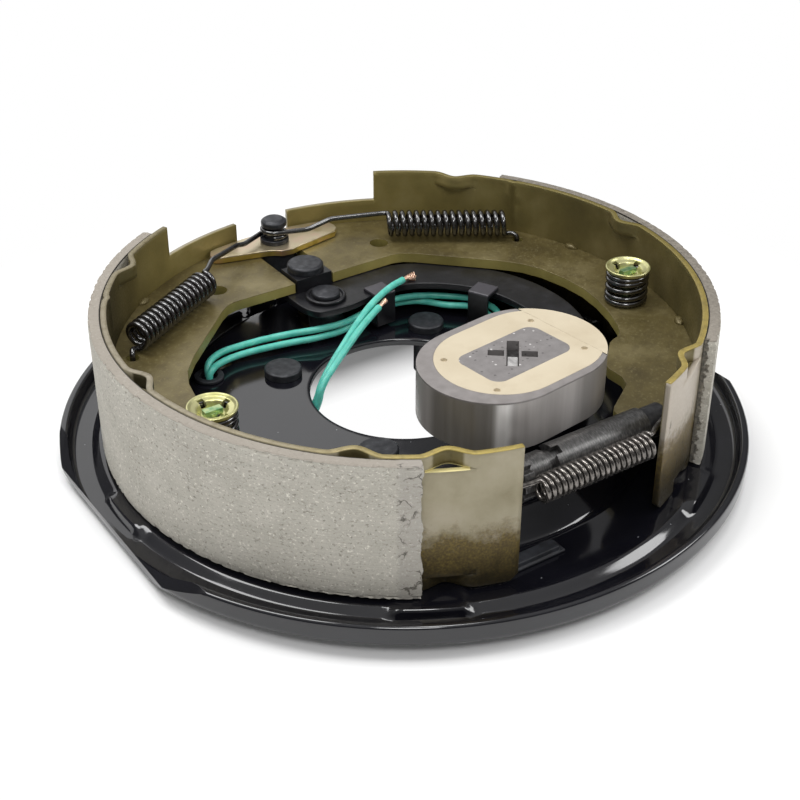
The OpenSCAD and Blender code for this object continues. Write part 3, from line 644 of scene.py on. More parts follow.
# a wire swept along a line of points, as a geometry nodes tree
def wireTree():
    n = Nodes(bpy.data.node_groups.new("wireAlongLine", "GeometryNodeTree"))
    for label, kind, way in (("Line", "Geometry", "INPUT"), ("Wire Radius", "Float", "INPUT"),
                             ("Sides", "Int", "INPUT"), ("Finish", "Material", "INPUT"),
                             ("Wire", "Geometry", "OUTPUT")):
        n.tree.interface.new_socket(label, in_out=way, socket_type="NodeSocket" + kind)
    given = n.put("NodeGroupInput").outputs
    line = n.put("GeometryNodeMeshToCurve", {"Mesh": given["Line"]})
    ring = n.put("GeometryNodeCurvePrimitiveCircle", {"Resolution": given["Sides"],
                                                      "Radius": given["Wire Radius"]})
    tube = n.put("GeometryNodeCurveToMesh", {"Curve": line.outputs[0], "Profile Curve": ring.outputs[0],
                                             "Fill Caps": True})
    soft = n.put("GeometryNodeSetShadeSmooth", {"Geometry": tube.outputs[0]})
    real = n.put("GeometryNodeRealizeInstances", {"Geometry": soft.outputs[0]})
    coat = n.put("GeometryNodeSetMaterial", {"Geometry": real.outputs[0], "Material": given["Finish"]})
    n.put("NodeGroupOutput", {"Wire": coat.outputs[0]})
    return n.tree


alongLine = wireTree()


def sweptWire(name, points, radius, body, surface, node, sides=14, edges=None):
    # the points are joined one after another, unless their edges are given
    edges = edges or [(i, i + 1) for i in range(len(points) - 1)]
    mesh = bpy.data.meshes.new(name)
    mesh.from_pydata([Vector(p) * mm for p in points], edges, [])
    thing = link(name, mesh)
    growth = thing.modifiers.new("growth", "NODES")
    growth.node_group = alongLine
    given = {"Wire Radius": radius * mm, "Sides": sides, "Finish": surface}
    for item in alongLine.interface.items_tree:
        if item.name in given:
            growth[item.identifier] = given[item.name]
    smoothed(outward(baked(thing).data), 60)
    return finished(thing, body, surface, node)


# lead wires: green vinyl over copper, from the magnet through the grommet and back up the hole

leads = {
    "diameter": 3.0, "bends": ("arm", "plate", (20, -28, 30), (6, 16.5, 30)),
    "strand": 0.34, "around": 6, "lay": 1.1, "reach": 0.6, "openFrom": 0.4,
    "a": [(20.1, -30.4, 49), (19.9, -27.6, 49), (22.5, -23.5, 47), (28, -19, 42), (35, -14, 36),
          (42, -7, 30), (50, 2.5, 27), (60, 11.4, 27.8), (64.6, 22, 29.6), (62.4, 34, 30),
          (54, 43.5, 30), (44, 50, 30.5), (33, 53, 31), (21, 52.5, 31), (10, 50.2, 30.5),
          (0, 49, 30), (-11, 51.2, 29.5), (-22, 55.4, 28.8), (-33, 58.8, 28), (-44, 60.4, 27.6),
          (-53, 60.2, 27.6), (-58.8, 58.1, 27.6), (-62.6, 55.7, 27.2), (-64.2, 53.9, 25.4),
          (-64.4, 53.1, 22.6), (-64.4, 53.1, 17.4), (-63.5, 52, 13.2), (-60, 46.9, 9.2),
          (-57.8, 38.8, 7.8), (-54.4, 30.6, 7.4), (-49, 24.6, 7.8), (-43, 20.6, 9.2),
          (-37.4, 18.4, 12.4), (-34, 17.2, 16.2), (-32.4, 16.6, 20), (-30.6, 16.8, 24.5),
          (-27, 18.4, 28), (-20.5, 22, 31.4), (-12, 27, 34.6), (-3, 32.5, 37.6), (6.3, 37.5, 40.6),
          (15.8, 42.3, 42), (24.8, 46.7, 42.1), (33.4, 50.3, 41.4)],
    "b": [(15.5, -30.7, 49), (15.3, -27.8, 49), (18, -23, 46.5), (23.5, -17.5, 41.5),
          (31, -11, 35.5), (38.5, -4, 29.5), (46.6, 4, 26.6), (55.6, 12.2, 26.6), (60.4, 19.4, 27.6),
          (61, 27, 27.8), (58, 34.4, 27.8), (51, 41, 27.5), (43, 51.6, 27.2), (32, 55, 27.6),
          (21, 55.4, 27.5), (10, 52.6, 27), (0, 48.9, 26.5), (-12, 50.2, 26), (-23.5, 53.4, 25.7),
          (-34.5, 55.2, 25.8), (-44.5, 56.6, 25.6), (-53, 56, 25.8), (-60, 53.2, 26.4),
          (-63.4, 50.8, 26.6), (-65.3, 50, 25), (-65.6, 49.9, 22), (-65.6, 49.9, 17.4),
          (-66.4, 48.5, 13), (-66, 43.9, 8.8), (-62.4, 37.4, 7.4), (-59, 28.6, 7), (-54, 21.4, 7.2),
          (-47.4, 16.4, 8.6), (-41, 13.8, 11.6), (-36.6, 13, 15.6), (-34.5, 12.4, 20.4),
          (-33.1, 12.6, 25.1), (-29.6, 14.1, 28.8), (-23.1, 17.5, 31.7), (-14.6, 22.1, 34.7),
          (-5.5, 27.2, 37.4), (3.8, 32.4, 39.2), (11.6, 36.7, 40.1)],
    "coreA": [(33.54, 50.36, 41.39), (36.8, 51.6, 41.1), (40.3, 52, 40.5)],
    "coreB": [(11.73, 36.77, 40.11), (14.4, 38.3, 40.4), (17, 39.6, 40.6)],
}


def strandedCore(name, route, node, splay):
    # strands laid round a middle one, opened out towards the bare end
    centre = throughPoints(route, between=12)
    points, edges = [], []
    around = leads["around"]
    for s in range(around + 1):
        for i, c in enumerate(centre):
            t = i / (len(centre) - 1)
            ahead = centre[min(i + 1, len(centre) - 1)] - centre[max(i - 1, 0)]
            across = ahead.cross(Vector((0, 0, 1))).normalized()
            over = across.cross(ahead).normalized()
            angle = math.tau * (s / around + leads["lay"] * t)
            reach = 0.0
            if s < around:
                reach = leads["reach"] + 0.16 * t * t * noise.noise(Vector((s * 3.1, 0, t)))
                reach += max(0.0, t - leads["openFrom"]) * splay
            if i:
                edges.append((len(points) - 1, len(points)))
            points.append(c + reach * (across * math.cos(angle) + over * math.sin(angle)))
    return sweptWire(name, points, leads["strand"], "plate", finish["copper"], node,
                     sides=7, edges=edges)


def leadWire(name, route, node):
    # the green vinyl swept along the lead's route
    line = throughPoints(route, between=6)
    thing = sweptWire(name, line, leads["diameter"] / 2, leads["bends"], finish["teal"], node)


cores = {end: strandedCore("leadStrands" + end, leads["core" + end], "lead_core_" + end.lower(), splay)
         for end, splay in (("A", 2.2), ("B", 0.5))}
for end, core in cores.items():
    leadWire("leadWire" + end, leads[end.lower()], "lead_wire_" + end.lower())
print("leads made")


# backing plate: one pressed disc, turned from its profile, with six pads and the post's boss pushed up

plate = {
    "rimR": 143.5, "thick": 3.3, "foot": 4.0, "rimTop": 14.0, "groove": 7.3, "land": 10.0,
    "landR": 125.5, "dishR": 90.5, "dish": 22.6, "bore": 39.5, "steps": 360,
    "padTop": 11.1, "padFrom": 115.5, "padTo": 130.5, "padHalf": 13.0,
    "pressedFrom": 98, "bossY": 107.0, "bossR": 12.2, "flatX": 136.0, "rampIn": 9.5,
}


def plateProfile():
    # the section's corners, each with its radius, its height and how far its bend is rounded
    p = plate
    under, thick = p["dish"] - p["thick"], p["thick"]
    landUnder = p["land"] - thick
    return filleted([
        (p["bore"], p["dish"], 0.9), (p["dishR"] + 2.6, p["dish"], 5.0), (p["landR"] - 22.6, p["land"], 4.0),
        (p["landR"] + 1.6, p["land"], 3.0), (p["landR"] + 5.6, p["groove"], 3.0),
        (p["rimR"] - thick - 0.6, p["groove"], 3.4), (p["rimR"] - thick, p["rimTop"], 1.2),
        (p["rimR"], p["rimTop"], 1.3), (p["rimR"], p["foot"], 4.2), (p["landR"] + 3.6, p["foot"], 4.0),
        (p["landR"] - 0.2, landUnder, 3.0), (p["landR"] - 25.4, landUnder, 4.0),
        (p["dishR"] + 0.4, under, 3.0), (p["bore"], under, 0.7)], pitch=0.9)


def backingPlate():
    p = plate
    profile = plateProfile()
    points, faces = turned(profile, p["steps"])
    raised = []
    for x, y, z in points:
        r, a = math.hypot(x, y), math.degrees(math.atan2(y, x))
        upper = z > (p["land"] + p["dish"]) / 2 - 2 if r < p["dishR"] + 8 else z > p["groove"] - 0.6
        if upper and r > p["pressedFrom"]:
            away = abs((a + 30) % 60 - 30)
            side = r * math.radians(away)
            pad = 1 - smoothStep(p["padHalf"] - 0.4, p["padHalf"] + 1.6, side)
            pad *= smoothStep(p["padFrom"] - 2.2, p["padFrom"] + 0.2, r)
            pad *= 1 - smoothStep(p["padTo"] - 0.2, p["padTo"] + 2.0, r)
            if z < p["padTop"]:
                z += (p["padTop"] - z) * pad
            fromPost = math.hypot(x, y - p["bossY"])
            boss = 1 - smoothStep(p["bossR"] - 1.6, p["bossR"] + 2.4, fromPost)
            if r < p["landR"] + 4 and z < p["dish"]:
                z += (p["dish"] - z) * boss
        raised.append((x, y, z))
    mesh = meshFrom("backingPlatePressing", raised, faces)
    with opened(mesh) as work:
        for s in (-1, 1):
            rise = p["rimTop"] + 1 - p["groove"]
            cuts = [((s * p["flatX"], 0, 0), (s, 0, 0)),
                    ((s * p["flatX"], 0, p["groove"]), (s * rise, 0, p["rampIn"]))]
            for spot, way in cuts:
                every = work.verts[:] + work.edges[:] + work.faces[:]
                bmesh.ops.bisect_plane(work, geom=every, dist=1e-7, plane_co=Vector(spot) * mm,
                                       plane_no=Vector(way).normalized(), clear_outer=True)
                bmesh.ops.holes_fill(work, edges=[e for e in work.edges if e.is_boundary], sides=0)
        bmesh.ops.recalc_face_normals(work, faces=work.faces)
    thing = link("backingPlatePressing", smoothed(mesh, 40))
    return finished(thing, "plate", finish["enamel"], "backing_plate")


backingPlate()
print("backing plate made")


# shoes: tables of bent strip with lanced loops along their edges, a stepped end and a shallow crease;
# ground linings; welds

shoes = {
    "inner": 118.6, "outer": 121.0, "liningOut": 126.0, "low": 11.4, "top": 68.6, "step": 54.6,
    "loop": 6.0, "bow": 4.5, "half": 4.8, "webTop": 44.0, "chamfer": 3.0, "chamferSlope": 2.1,
    "pitch": 0.75, "creaseDeep": 0.9, "creaseHalf": 0.85, "weldSize": (2.0, 3.4, 1.7), "edge": 0.3,
    "primary": {"from": -71.4, "front": -71.4, "to": 83.6, "stepAt": 62.9, "stepSide": 1,
                "loops": (44.2, 0.4, -60.0), "creases": (30.5,), "welds": (14.5, -25.5, 52.0, -52.0),
                "lining": (-53.9, 34.5)},
    "secondary": {"from": 96.6, "to": 255.6, "front": 255.6, "stepAt": 116.8, "stepSide": -1,
                  "loops": (135.0, 182.0, 227.7, 243.0), "creases": (149.5,),
                  "welds": (129.0, 160.0, 201.0, 214.0, 236.0), "lining": (120.3, 238.9)},
}
lining = {
    "gap": 0.2, "inset": 0.3, "pitch": 0.4, "wide": 6, "tall": 62, "back": 14,
    "corner": 0.95, "chipMost": 0.9, "frayed": 10,
}


def shoeTable(name, facts, body, node):
    s = shoes
    count = int((facts["to"] - facts["from"]) / s["pitch"])
    angles = [facts["from"] + (facts["to"] - facts["from"]) * i / count for i in range(count + 1)]
    snap = min(range(count + 1), key=lambda i: abs(angles[i] - facts["stepAt"]))
    angles[snap] = facts["stepAt"]
    lowSlit, highSlit = s["low"] + s["loop"], s["top"] - s["loop"]
    rows = [s["low"], s["low"] + 2, s["low"] + 4, lowSlit]
    middle = [lowSlit + (s["step"] - lowSlit) * k / 14 for k in range(1, 15)]
    rows += middle + [s["step"] + (highSlit - s["step"]) * k / 4 for k in range(1, 5)]
    rows += [s["top"] - 4, s["top"] - 2, s["top"]]
    radius = s["inner"]

    def bulge(a):
        depth = 0.0
        for c in facts["loops"]:
            t = abs(a - c) / s["half"]
            if t < 1:
                depth = s["bow"] * (math.cos(math.pi * t) * 0.5 + 0.5) ** 0.8
        return depth

    def pressed(a, z):
        depth = 0.0
        for c in facts["creases"]:
            fade = smoothStep(s["webTop"] - 2, s["webTop"] + 16, z)
            depth += s["creaseDeep"] * math.exp(-((a - c) / s["creaseHalf"]) ** 2) * fade
        return depth

    made = {}

    def at(i, j, strip):
        a, z = angles[i], rows[j]
        onSlit = abs(z - lowSlit) < 1e-6 or abs(z - highSlit) < 1e-6
        lift = max(0.0, s["chamfer"] - abs(a - facts["front"]) * s["chamferSlope"])
        if z < s["low"] + 4.1:
            z = s["low"] + lift + (z - s["low"]) * (4 - lift) / 4
        depth = bulge(a) if strip else 0.0
        key = (i, j, strip if onSlit and bulge(a) > 0.02 else 0)
        if key not in made:
            wave = 0.12 * noise.noise(Vector((a * 0.05, z * 0.03, 4.0)))
            r = radius - depth - pressed(a, z) + wave * 0.3
            made[key] = work.verts.new(Vector((*polar(r, a), z)) * mm)
        return made[key]

    mesh = bpy.data.meshes.new(name)
    with opened(mesh) as work:
        for i in range(count):
            beyond = ((angles[i] + angles[i + 1]) / 2 - facts["stepAt"]) * facts["stepSide"] > 0
            for j in range(len(rows) - 1):
                mid = (rows[j] + rows[j + 1]) / 2
                if beyond and mid > s["step"]:
                    continue
                strip = 1 if mid < lowSlit or mid > highSlit else 0
                corners = ((i, j), (i, j + 1), (i + 1, j + 1), (i + 1, j))
                work.faces.new([at(*corner, strip) for corner in corners])
    thing = link(name, mesh)
    mesh.update()
    # the sheet faces the axle, so it gets its thickness outwards
    inwards = sum((p.normal.dot(Vector((p.center.x, p.center.y, 0))) for p in mesh.polygons)) < 0
    thick = thing.modifiers.new("thickness", "SOLIDIFY")
    thick.thickness = (s["outer"] - s["inner"]) * mm
    thick.offset = -1 if inwards else 1
    thick.use_even_offset = True
    easedEdges(thing, s["edge"], 50)
    smoothed(outward(baked(thing).data), 45)
    return finished(thing, body, finish["table"], node)


def shoeLining(name, facts, body, node, seed):
    # ground block with frayed, cracked ends and small chips along its edges
    s, b = shoes, lining
    low, high, r0, r1 = s["low"] + b["inset"], s["top"] - b["inset"], s["outer"] + b["gap"], s["liningOut"]
    start, end = facts["lining"]
    count = int((end - start) / b["pitch"])
    section = []
    wide, tall, back, frayed = b["wide"], b["tall"], b["back"], b["frayed"]
    for k in range(wide + 1):
        section.append((r0 + (r1 - r0) * k / wide, low, "low"))
    for k in range(1, tall):
        section.append((r1, low + (high - low) * k / tall, "out"))
    for k in range(wide + 1):
        section.append((r1 - (r1 - r0) * k / wide, high, "high"))
    for k in range(1, back):
        section.append((r0, high - (high - low) * k / back, "in"))
    points, faces = [], []
    n = len(section)
    for i in range(count + 1):
        a = start + (end - start) * i / count
        nearEnd = min(i, count - i)
        for r, z, face in section:
            where = Vector((a * 2.2, z, r)) + Vector((seed, 0, 0))
            grit = noise.noise(where * 0.9) * 0.09 + noise.noise(where * 2.3) * 0.05
            lift = -abs(grit) if face == "out" else 0.0
            drop = abs(grit) * 1.3 if face in ("low", "high") else 0.0
            atCorner = face == "out" and (z < low + b["corner"] or z > high - b["corner"])
            if (face in ("low", "high") and r > r1 - 0.1) or atCorner:
                chip = min(max(0.0, noise.noise(where * 0.35) - 0.1) * 2.2 + 0.25, b["chipMost"])
                lift -= chip
                drop += chip if face in ("low", "high") else 0.0
            turnBack = 0.0
            if nearEnd < frayed:
                ragged = noise.noise(Vector((z * 0.22, r * 0.5, seed))) * 0.55
                ragged += noise.noise(Vector((z * 0.9, r * 1.1, seed + 5))) * 0.28
                ragged += 0.9 * max(0.0, noise.noise(Vector((z * 0.07, 3, seed))))
                fade = 1 - nearEnd / frayed
                turnBack = max(0.0, ragged + 0.25) * 0.8 * fade ** 2
                lift -= 0.35 * fade ** 4 * abs(noise.noise(where * 0.6)) if face == "out" else 0.0
            if face == "in":
                lift = drop = 0.0
            aa = a + turnBack * (1 if i < count / 2 else -1)
            zz = z + (drop if face == "low" else -drop if face == "high" else 0.0)
            points.append((*polar(r + lift, aa), zz))
    for i in range(count):
        for k in range(n):
            m = (k + 1) % n
            faces.append((i * n + k, i * n + m, (i + 1) * n + m, (i + 1) * n + k))
    # each end is one face, and the work below cuts it into triangles
    faces += [tuple(range(base, base + n)) for base in (0, count * n)]
    mesh = meshFrom(name, points, faces)
    with opened(mesh) as work:
        bmesh.ops.triangulate(work, faces=[f for f in work.faces if len(f.verts) > 4])
        bmesh.ops.recalc_face_normals(work, faces=work.faces)
    return finished(link(name, smoothed(mesh, 32)), body, finish["lining"], node)


def weldNuggets(name, facts, body):
    # squeezed-out lumps where the table is projection welded to the web
    spot = Vector((shoes["inner"] - 1.0, 0, shoes["webTop"] + 0.2)) * mm
    mesh = bpy.data.meshes.new(name)
    with opened(mesh) as work:
        for k, a in enumerate(facts["welds"]):
            turn = Matrix.Rotation(math.radians(a), 3, "Z")
            for v in bmesh.ops.create_icosphere(work, subdivisions=3, radius=mm)["verts"]:
                lump = 1 + 0.22 * noise.noise(v.co * 900 + Vector((k * 4.0, 0, 0)))
                v.co = turn @ (v.co * Vector(shoes["weldSize"]) * lump + spot)
    return finished(link(name, smoothed(mesh, 60)), body, finish["olive"], None)


for side, seed in (("primary", 3.0), ("secondary", 21.0)):
    body = side + "_shoe"
    shoeTable(side + "TableSheet", shoes[side], body, side + "_table")
    shoeLining(side + "LiningBlock", shoes[side], body, side + "_lining", seed)
    weldNuggets(side + "WeldNuggets", shoes[side], body)
print("tables and linings made")


# springs

springs = {
    "post": (0.0, 107.0), "eye": 5.4, "wire": 1.15, "mean": 5.15, "turns": 16.5,
    "lead": 2.5, "neckBend": 1.8, "hookBend": 1.4,
    "hook": [(97.4, 52.6, 46.6), (98.5, 50.8, 45.4), (98.5, 50.5, 40.4)],
    "primary": {"level": 53.4, "eyeFrom": -340, "eyeTo": -103, "from": (49.0, 85.6, 51.5),
                "to": (94.5, 55.2, 51.5), "neck": [(13.0, 98.4, 52.8), (23.5, 95.6, 56.4)]},
    "secondary": {"level": 50.9, "eyeFrom": 300, "eyeTo": 64, "from": (49.6, 80.6, 51.0),
                  "to": (95.0, 53.4, 51.0),
                  "neck": [(17.2, 104.7, 50.9), (21.4, 103.6, 52.0), (42.0, 87.6, 57.0)]},
    "holdWire": 1.2, "holdMean": 8.1, "holdTurns": 4.9, "holdSteps": 36, "pins": (100.0, -23.5),
    "holdSeat": 44.1, "holdKeep": 0.79, "holdRise": (45.25, 57.35),
    "adjWire": 1.0, "adjMean": 4.4, "adjY": -112.6, "adjZ": 43.2, "adjTurns": 21, "adjEnds": (-18.6, 33),
    "adjHook": [(55, -99, 40.5), (55, -99, 44.4), (54.4, -100.4, 46.6), (52.6, -103, 47.7),
                (49, -105.2, 47.5), (44, -107, 47.2)],
    "adjNecks": ([(-36, -109.8, 47.3), (-28, -111.7, 47.6)], [(35, -111.9, 47.5), (38, -110, 47.4)]),
}


def bent(corners, size):
    # a wire's line through its corners, each bent to a small radius
    out = [Vector(corners[0])]
    for a, b, c in zip(corners, corners[1:], corners[2:]):
        a, b, c = Vector(a), Vector(b), Vector(c)
        reach = min(size, (a - b).length * 0.45, (c - b).length * 0.45)
        start, end = b + (a - b).normalized() * reach, b + (c - b).normalized() * reach
        out += [start * (1 - t) ** 2 + 2 * b * t * (1 - t) + end * t * t for t in (0, 0.2, 0.4, 0.6, 0.8, 1)]
    out.append(Vector(corners[-1]))
    return out


def returnSpring(name, facts, side, node, body):
    s = springs
    (px, py), level = s["post"], facts["level"]
    first, last = facts["eyeFrom"], facts["eyeTo"]
    steps = int(abs(last - first) / 6)
    ring = [polar(s["eye"], first + (last - first) * i / steps) for i in range(steps + 1)]
    eye = [(px + x, py + y, level) for x, y in ring]
    start, end = Vector(facts["from"]), Vector(facts["to"])
    coil = helixPoints(start, end, s["mean"], s["turns"], (0, 0, 1), steps=30)
    ahead = (end - start).normalized()
    neck = bent(eye[-2:] + facts["neck"] + [coil[0] - ahead * s["lead"], coil[0]], s["neckBend"])[1:-1]
    hook = bent([coil[-1]] + s["hook"], s["hookBend"])[1:]
    points = [(side * p[0], p[1], p[2]) for p in [Vector(e) for e in eye[:-1]] + neck + coil + hook]
    return sweptWire(name, points, s["wire"], body, finish["springs"], node)


def holdSpring(name, side, node):
    s = springs
    (x, y), (low, high) = s["pins"], s["holdRise"]
    steps, points = s["holdSteps"], []
    total = int(s["holdTurns"] * steps)
    for i in range(total + 1):
        t = i / total
        rise = low + (high - low) * (0.18 * t + 0.82 * smoothStep(0.02, 0.98, t))
        a = math.tau * i / steps
        points.append((side * x + s["holdMean"] * math.cos(a), y + s["holdMean"] * math.sin(a), rise))
    return sweptWire(name, points, s["holdWire"], "plate", finish["springs"], node)


def adjusterSpring():
    s = springs
    (x0, x1), y, z, hook = s["adjEnds"], s["adjY"], s["adjZ"], s["adjHook"]
    top, (leftNeck, rightNeck) = z + s["adjMean"], s["adjNecks"]
    mirrored = [(-across, along, up) for across, along, up in hook]
    left = throughPoints(mirrored + leftNeck + [(-22, y, top), (x0, y, top)], between=6)[:-1]
    coil = helixPoints((x0, y, z), (x1, y, z), s["adjMean"], s["adjTurns"], (0, 0, 1), steps=28)
    right = throughPoints([coil[-1]] + rightNeck + hook[::-1], between=6)[1:]
    return sweptWire("adjusterSpringCoil", left + coil + right, s["adjWire"], "secondary_shoe",
                     finish["wire"], "adjuster_spring")


returnSpring("primaryReturnCoil", springs["primary"], 1, "primary_return_spring",
             ("secondary_shoe", "primary_shoe", (10, 100, 51.5), (95, 55, 51.5)))
returnSpring("secondaryReturnCoil", springs["secondary"], -1, "secondary_return_spring",
             ("plate", "secondary_shoe", (-10, 100, 51.5), (-95, 55, 51.5)))
for side, shoe in ((1, "primary"), (-1, "secondary")):
    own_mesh(holdSpring(f"{shoe}HoldCoil", side, f"{shoe}_hold_spring"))
adjusterSpring()

# magnet: first its coil spring, between the arm and the housing
magnet = {
    "spot": (8.6, -60.6), "turn": 7.0, "bottom": 44.0, "armTop": 39.0,
    "coilWire": 0.7, "coilMean": 9, "coilTurns": 1.5, "coilGap": 0.75, "coilKeep": 0.4,
    "long": 79.0, "wide": 57.0, "top": 65.0, "flange": 0.6, "flangeFrom": 26.5, "inset": 0.12,
    "tongue": [(-8.4, -2.0), (-1.2, -2.0), (-1.2, 2.0), (-8.4, 2.0)], "tongueLow": 61.05, "tongueTop": 64.2,
}
centre = placed(magnet["spot"], magnet["turn"])
coil = helixPoints((0, 0, magnet["armTop"] + magnet["coilGap"]), (0, 0, magnet["bottom"] - magnet["coilGap"]),
                   magnet["coilMean"], magnet["coilTurns"], (1, 0, 0), steps=36)
magnetCoil = sweptWire("magnetSpringCoil", [centre @ p for p in coil], magnet["coilWire"], "arm",
                       finish["zinc"], "magnet_spring", sides=10)
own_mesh(magnetCoil)
print("springs made")


# hold-down cups: pressed, with a rolled lip and four windows round the seat of the pin's head

cups = {"section": [(4.6, 55.4, 0.3), (5.5, 55.4, 0.8), (6.9, 58.4, 0.9), (9.1, 58.6, 0.8), (9.75, 60.3, 0.7),
                    (9.0, 60.6, 0.6), (8.0, 59.7, 0.8), (5.9, 59.2, 0.9), (4.7, 56.6, 0.8), (2.5, 56.5, 0.3),
                    (2.5, 55.4, 0.3)], "window": (5.0, 7.6, 1.3), "windowTurn": 12, "windowCut": (54, 61)}


def holdCup(name, side, body, node):
    spot = (side * springs["pins"][0], springs["pins"][1])
    thing = turnedMesh(name, cups["section"], pitch=0.35, steps=120, spot=spot)
    near, far, half = cups["window"]
    corners = [(near, -half), (far, -half), (far, half), (near, half)]
    for k in range(4):
        place = placed(spot, cups["windowTurn"] + 90 * k)
        cutBy(thing, [prism("window", flatPoints(place, corners), *cups["windowCut"])])
    smoothed(thing.data, 40)
    return finished(thing, body, finish["yellow"], node)


for side, shoe in ((1, "primary"), (-1, "secondary")):
    holdCup(shoe + "CupPressing", side, shoe + "_cup", shoe + "_hold_cup")


# actuating arm: one stamped blank with two tabs folded over its inner edge

arm = {
    "under": 35.8, "top": 39.0, "edge": 0.55,
    "outline": [(-9.5, 85.5), (-14, 80), (-15.2, 72), (-15, 59), (-13.2, 52.2), (-8.5, 48.4), (2.7, 47.4),
                (17.3, 49.6), (30, 50.6), (38, 48.6), (46, 43.8), (53, 37.4), (59, 29.5), (63.2, 20),
                (65.4, 8), (65, -6), (61, -18), (54, -28.5), (44, -37.5), (30, -44.5), (16, -48.4),
                (2, -50.4), (-5, -54.2), (-7, -61), (-4.4, -68), (2.5, -73.2), (14, -73.6), (30, -69.4),
                (46, -61), (60, -49.5), (72, -36), (80, -21), (84.5, -5), (85, 10), (82.6, 24),
                (76.8, 38), (67, 51.5), (55, 62), (43, 68.6), (28, 72.6), (14, 75), (11, 81), (6.5, 85.5),
                (-1.5, 87.4)],
    "holes": [(-1.5, 59.5, 5.05), (-1.4, 77.0, 4.0), (8.6, -60.6, 3.9)],
    "tabs": [(21.2, 45.1, 4), (54.7, 22.4, -64)], "tabWide": 10.0, "tabLow": 24.6, "tabThick": 1.2,
    "tabUnder": 11.4, "tabOver": 10.5, "tabSunk": 0.8, "tabBend": 0.9, "pivot": (-1.5, 59.5),
    "disc": [(5.1, 39.3, 0.1), (9, 39.3, 0.3), (9, 40.7, 0.8), (7.7, 40.8, 0.4), (7.1, 39.9, 0.4),
             (5.1, 39.9, 0.1)],
    "rivet": [(0.01, 16.1, 0), (7, 16.1, 0.6), (7, 17.7, 0.3), (5, 17.7, 0.1), (5, 22.6, 0.1), (8, 22.6, 0.1),
              (8, 35.5, 0.5), (5, 35.5, 0.1), (5, 40.2, 0.1), (6.3, 40.2, 0.3), (6.3, 42.2, 1.1),
              (0.01, 43, 0)],
}


def foldedTab(name, x, y, turn):
    # a C of strip: on the arm's top, down its inner edge, back under the leads
    a = arm
    low, high, thick = a["tabLow"], a["top"] - a["tabSunk"], a["tabThick"]
    under, over, above = a["tabUnder"], a["tabOver"], high + 2 * thick
    corners = [(0, low + 2), (0, low), (under, low), (under, low + thick), (thick, low + thick),
               (thick, high), (over, high), (over, above), (0, above), (0, low + 2)]
    shape = bent([(0, *corner) for corner in corners], a["tabBend"])[:-1]
    half, place = a["tabWide"] / 2, placed((x, y), turn)
    return loft(name, [place @ Vector((side * half, v.y, v.z)) for side in (-1, 1) for v in shape])


edge = arm["outline"]
armBlank = prism("armStamping", smoothRun([edge[-1], *edge, *edge[:2]], between=5), arm["under"], arm["top"])
cutBy(armBlank, [roundRod("hole", *hole, arm["under"] - 2, arm["top"] + 2) for hole in arm["holes"]])
eased(armBlank, arm["edge"])
for x, y, turn in arm["tabs"]:
    tab = eased(foldedTab("tab", x, y, turn), 0.3, 50)
    with opened(armBlank.data) as work:
        work.from_mesh(tab.data)
    bpy.data.meshes.remove(tab.data)
finished(armBlank, "arm", finish["armSteel"], "actuating_arm")


for name, part, surface in (("armPivotDisc", "disc", "armSteel"), ("armPivotRivet", "rivet", "oxide")):
    node = "arm_pivot_washer" if part == "disc" else "arm_pivot_pin"
    thing = turnedMesh(name, arm[part], pitch=0.4, steps=96, spot=arm["pivot"])
    smoothed(thing.data, 50)
    finished(thing, "plate", finish[surface], node)
print("arm made")


# magnet: ground can with its rim milled away at one end, where the resin face runs out to the edge

def flangeOutline(inset, grow):
    # the end of the oval beyond flangeFrom, closed by a straight cut
    reach, radius = (magnet["long"] - magnet["wide"]) / 2, magnet["wide"] / 2 - inset
    x0 = magnet["flangeFrom"]
    arc = [polar(radius, degrees) for degrees in range(-90, 91, 3)]
    line = [(reach + x, y) for x, y in arc if reach + x > x0]
    y1 = math.sqrt(radius ** 2 - (x0 - reach) ** 2)
    return flatPoints(centre, [(x0 - grow, -y1)] + line + [(x0 - grow, y1)])


top, milled = magnet["top"], magnet["top"] - magnet["flange"]
can = copyOf("magnet_housing", "magnetCan")
cutBy(can, [prism("millCut", flangeOutline(-1.0, 0.4), milled, top + 1)])
finished(eased(can, 0.3), "magnet", finish["can"], "magnet_housing")
resin = copyOf("magnet_face", "magnetResinFace")
cutBy(resin, [prism("runOut", flangeOutline(magnet["inset"], 0.0), milled + 0.02, top)], "UNION")
with opened(resin.data) as work:
    bmesh.ops.remove_doubles(work, verts=work.verts, dist=0.02 * mm)
    bmesh.ops.dissolve_limit(work, angle_limit=0.02, verts=work.verts, edges=work.edges)
finished(eased(resin, 0.12), "magnet", finish["cream"], "magnet_face")
# the clip's tongue shows in the slot that crosses the pole at 45 degrees
tongue = prism("magnetClipTongue", flatPoints(placed(magnet["spot"], magnet["turn"] + 45), magnet["tongue"]),
               magnet["tongueLow"], magnet["tongueTop"])
finished(eased(tongue, 0.3), "arm", finish["tongue"], None)
print("magnet made")


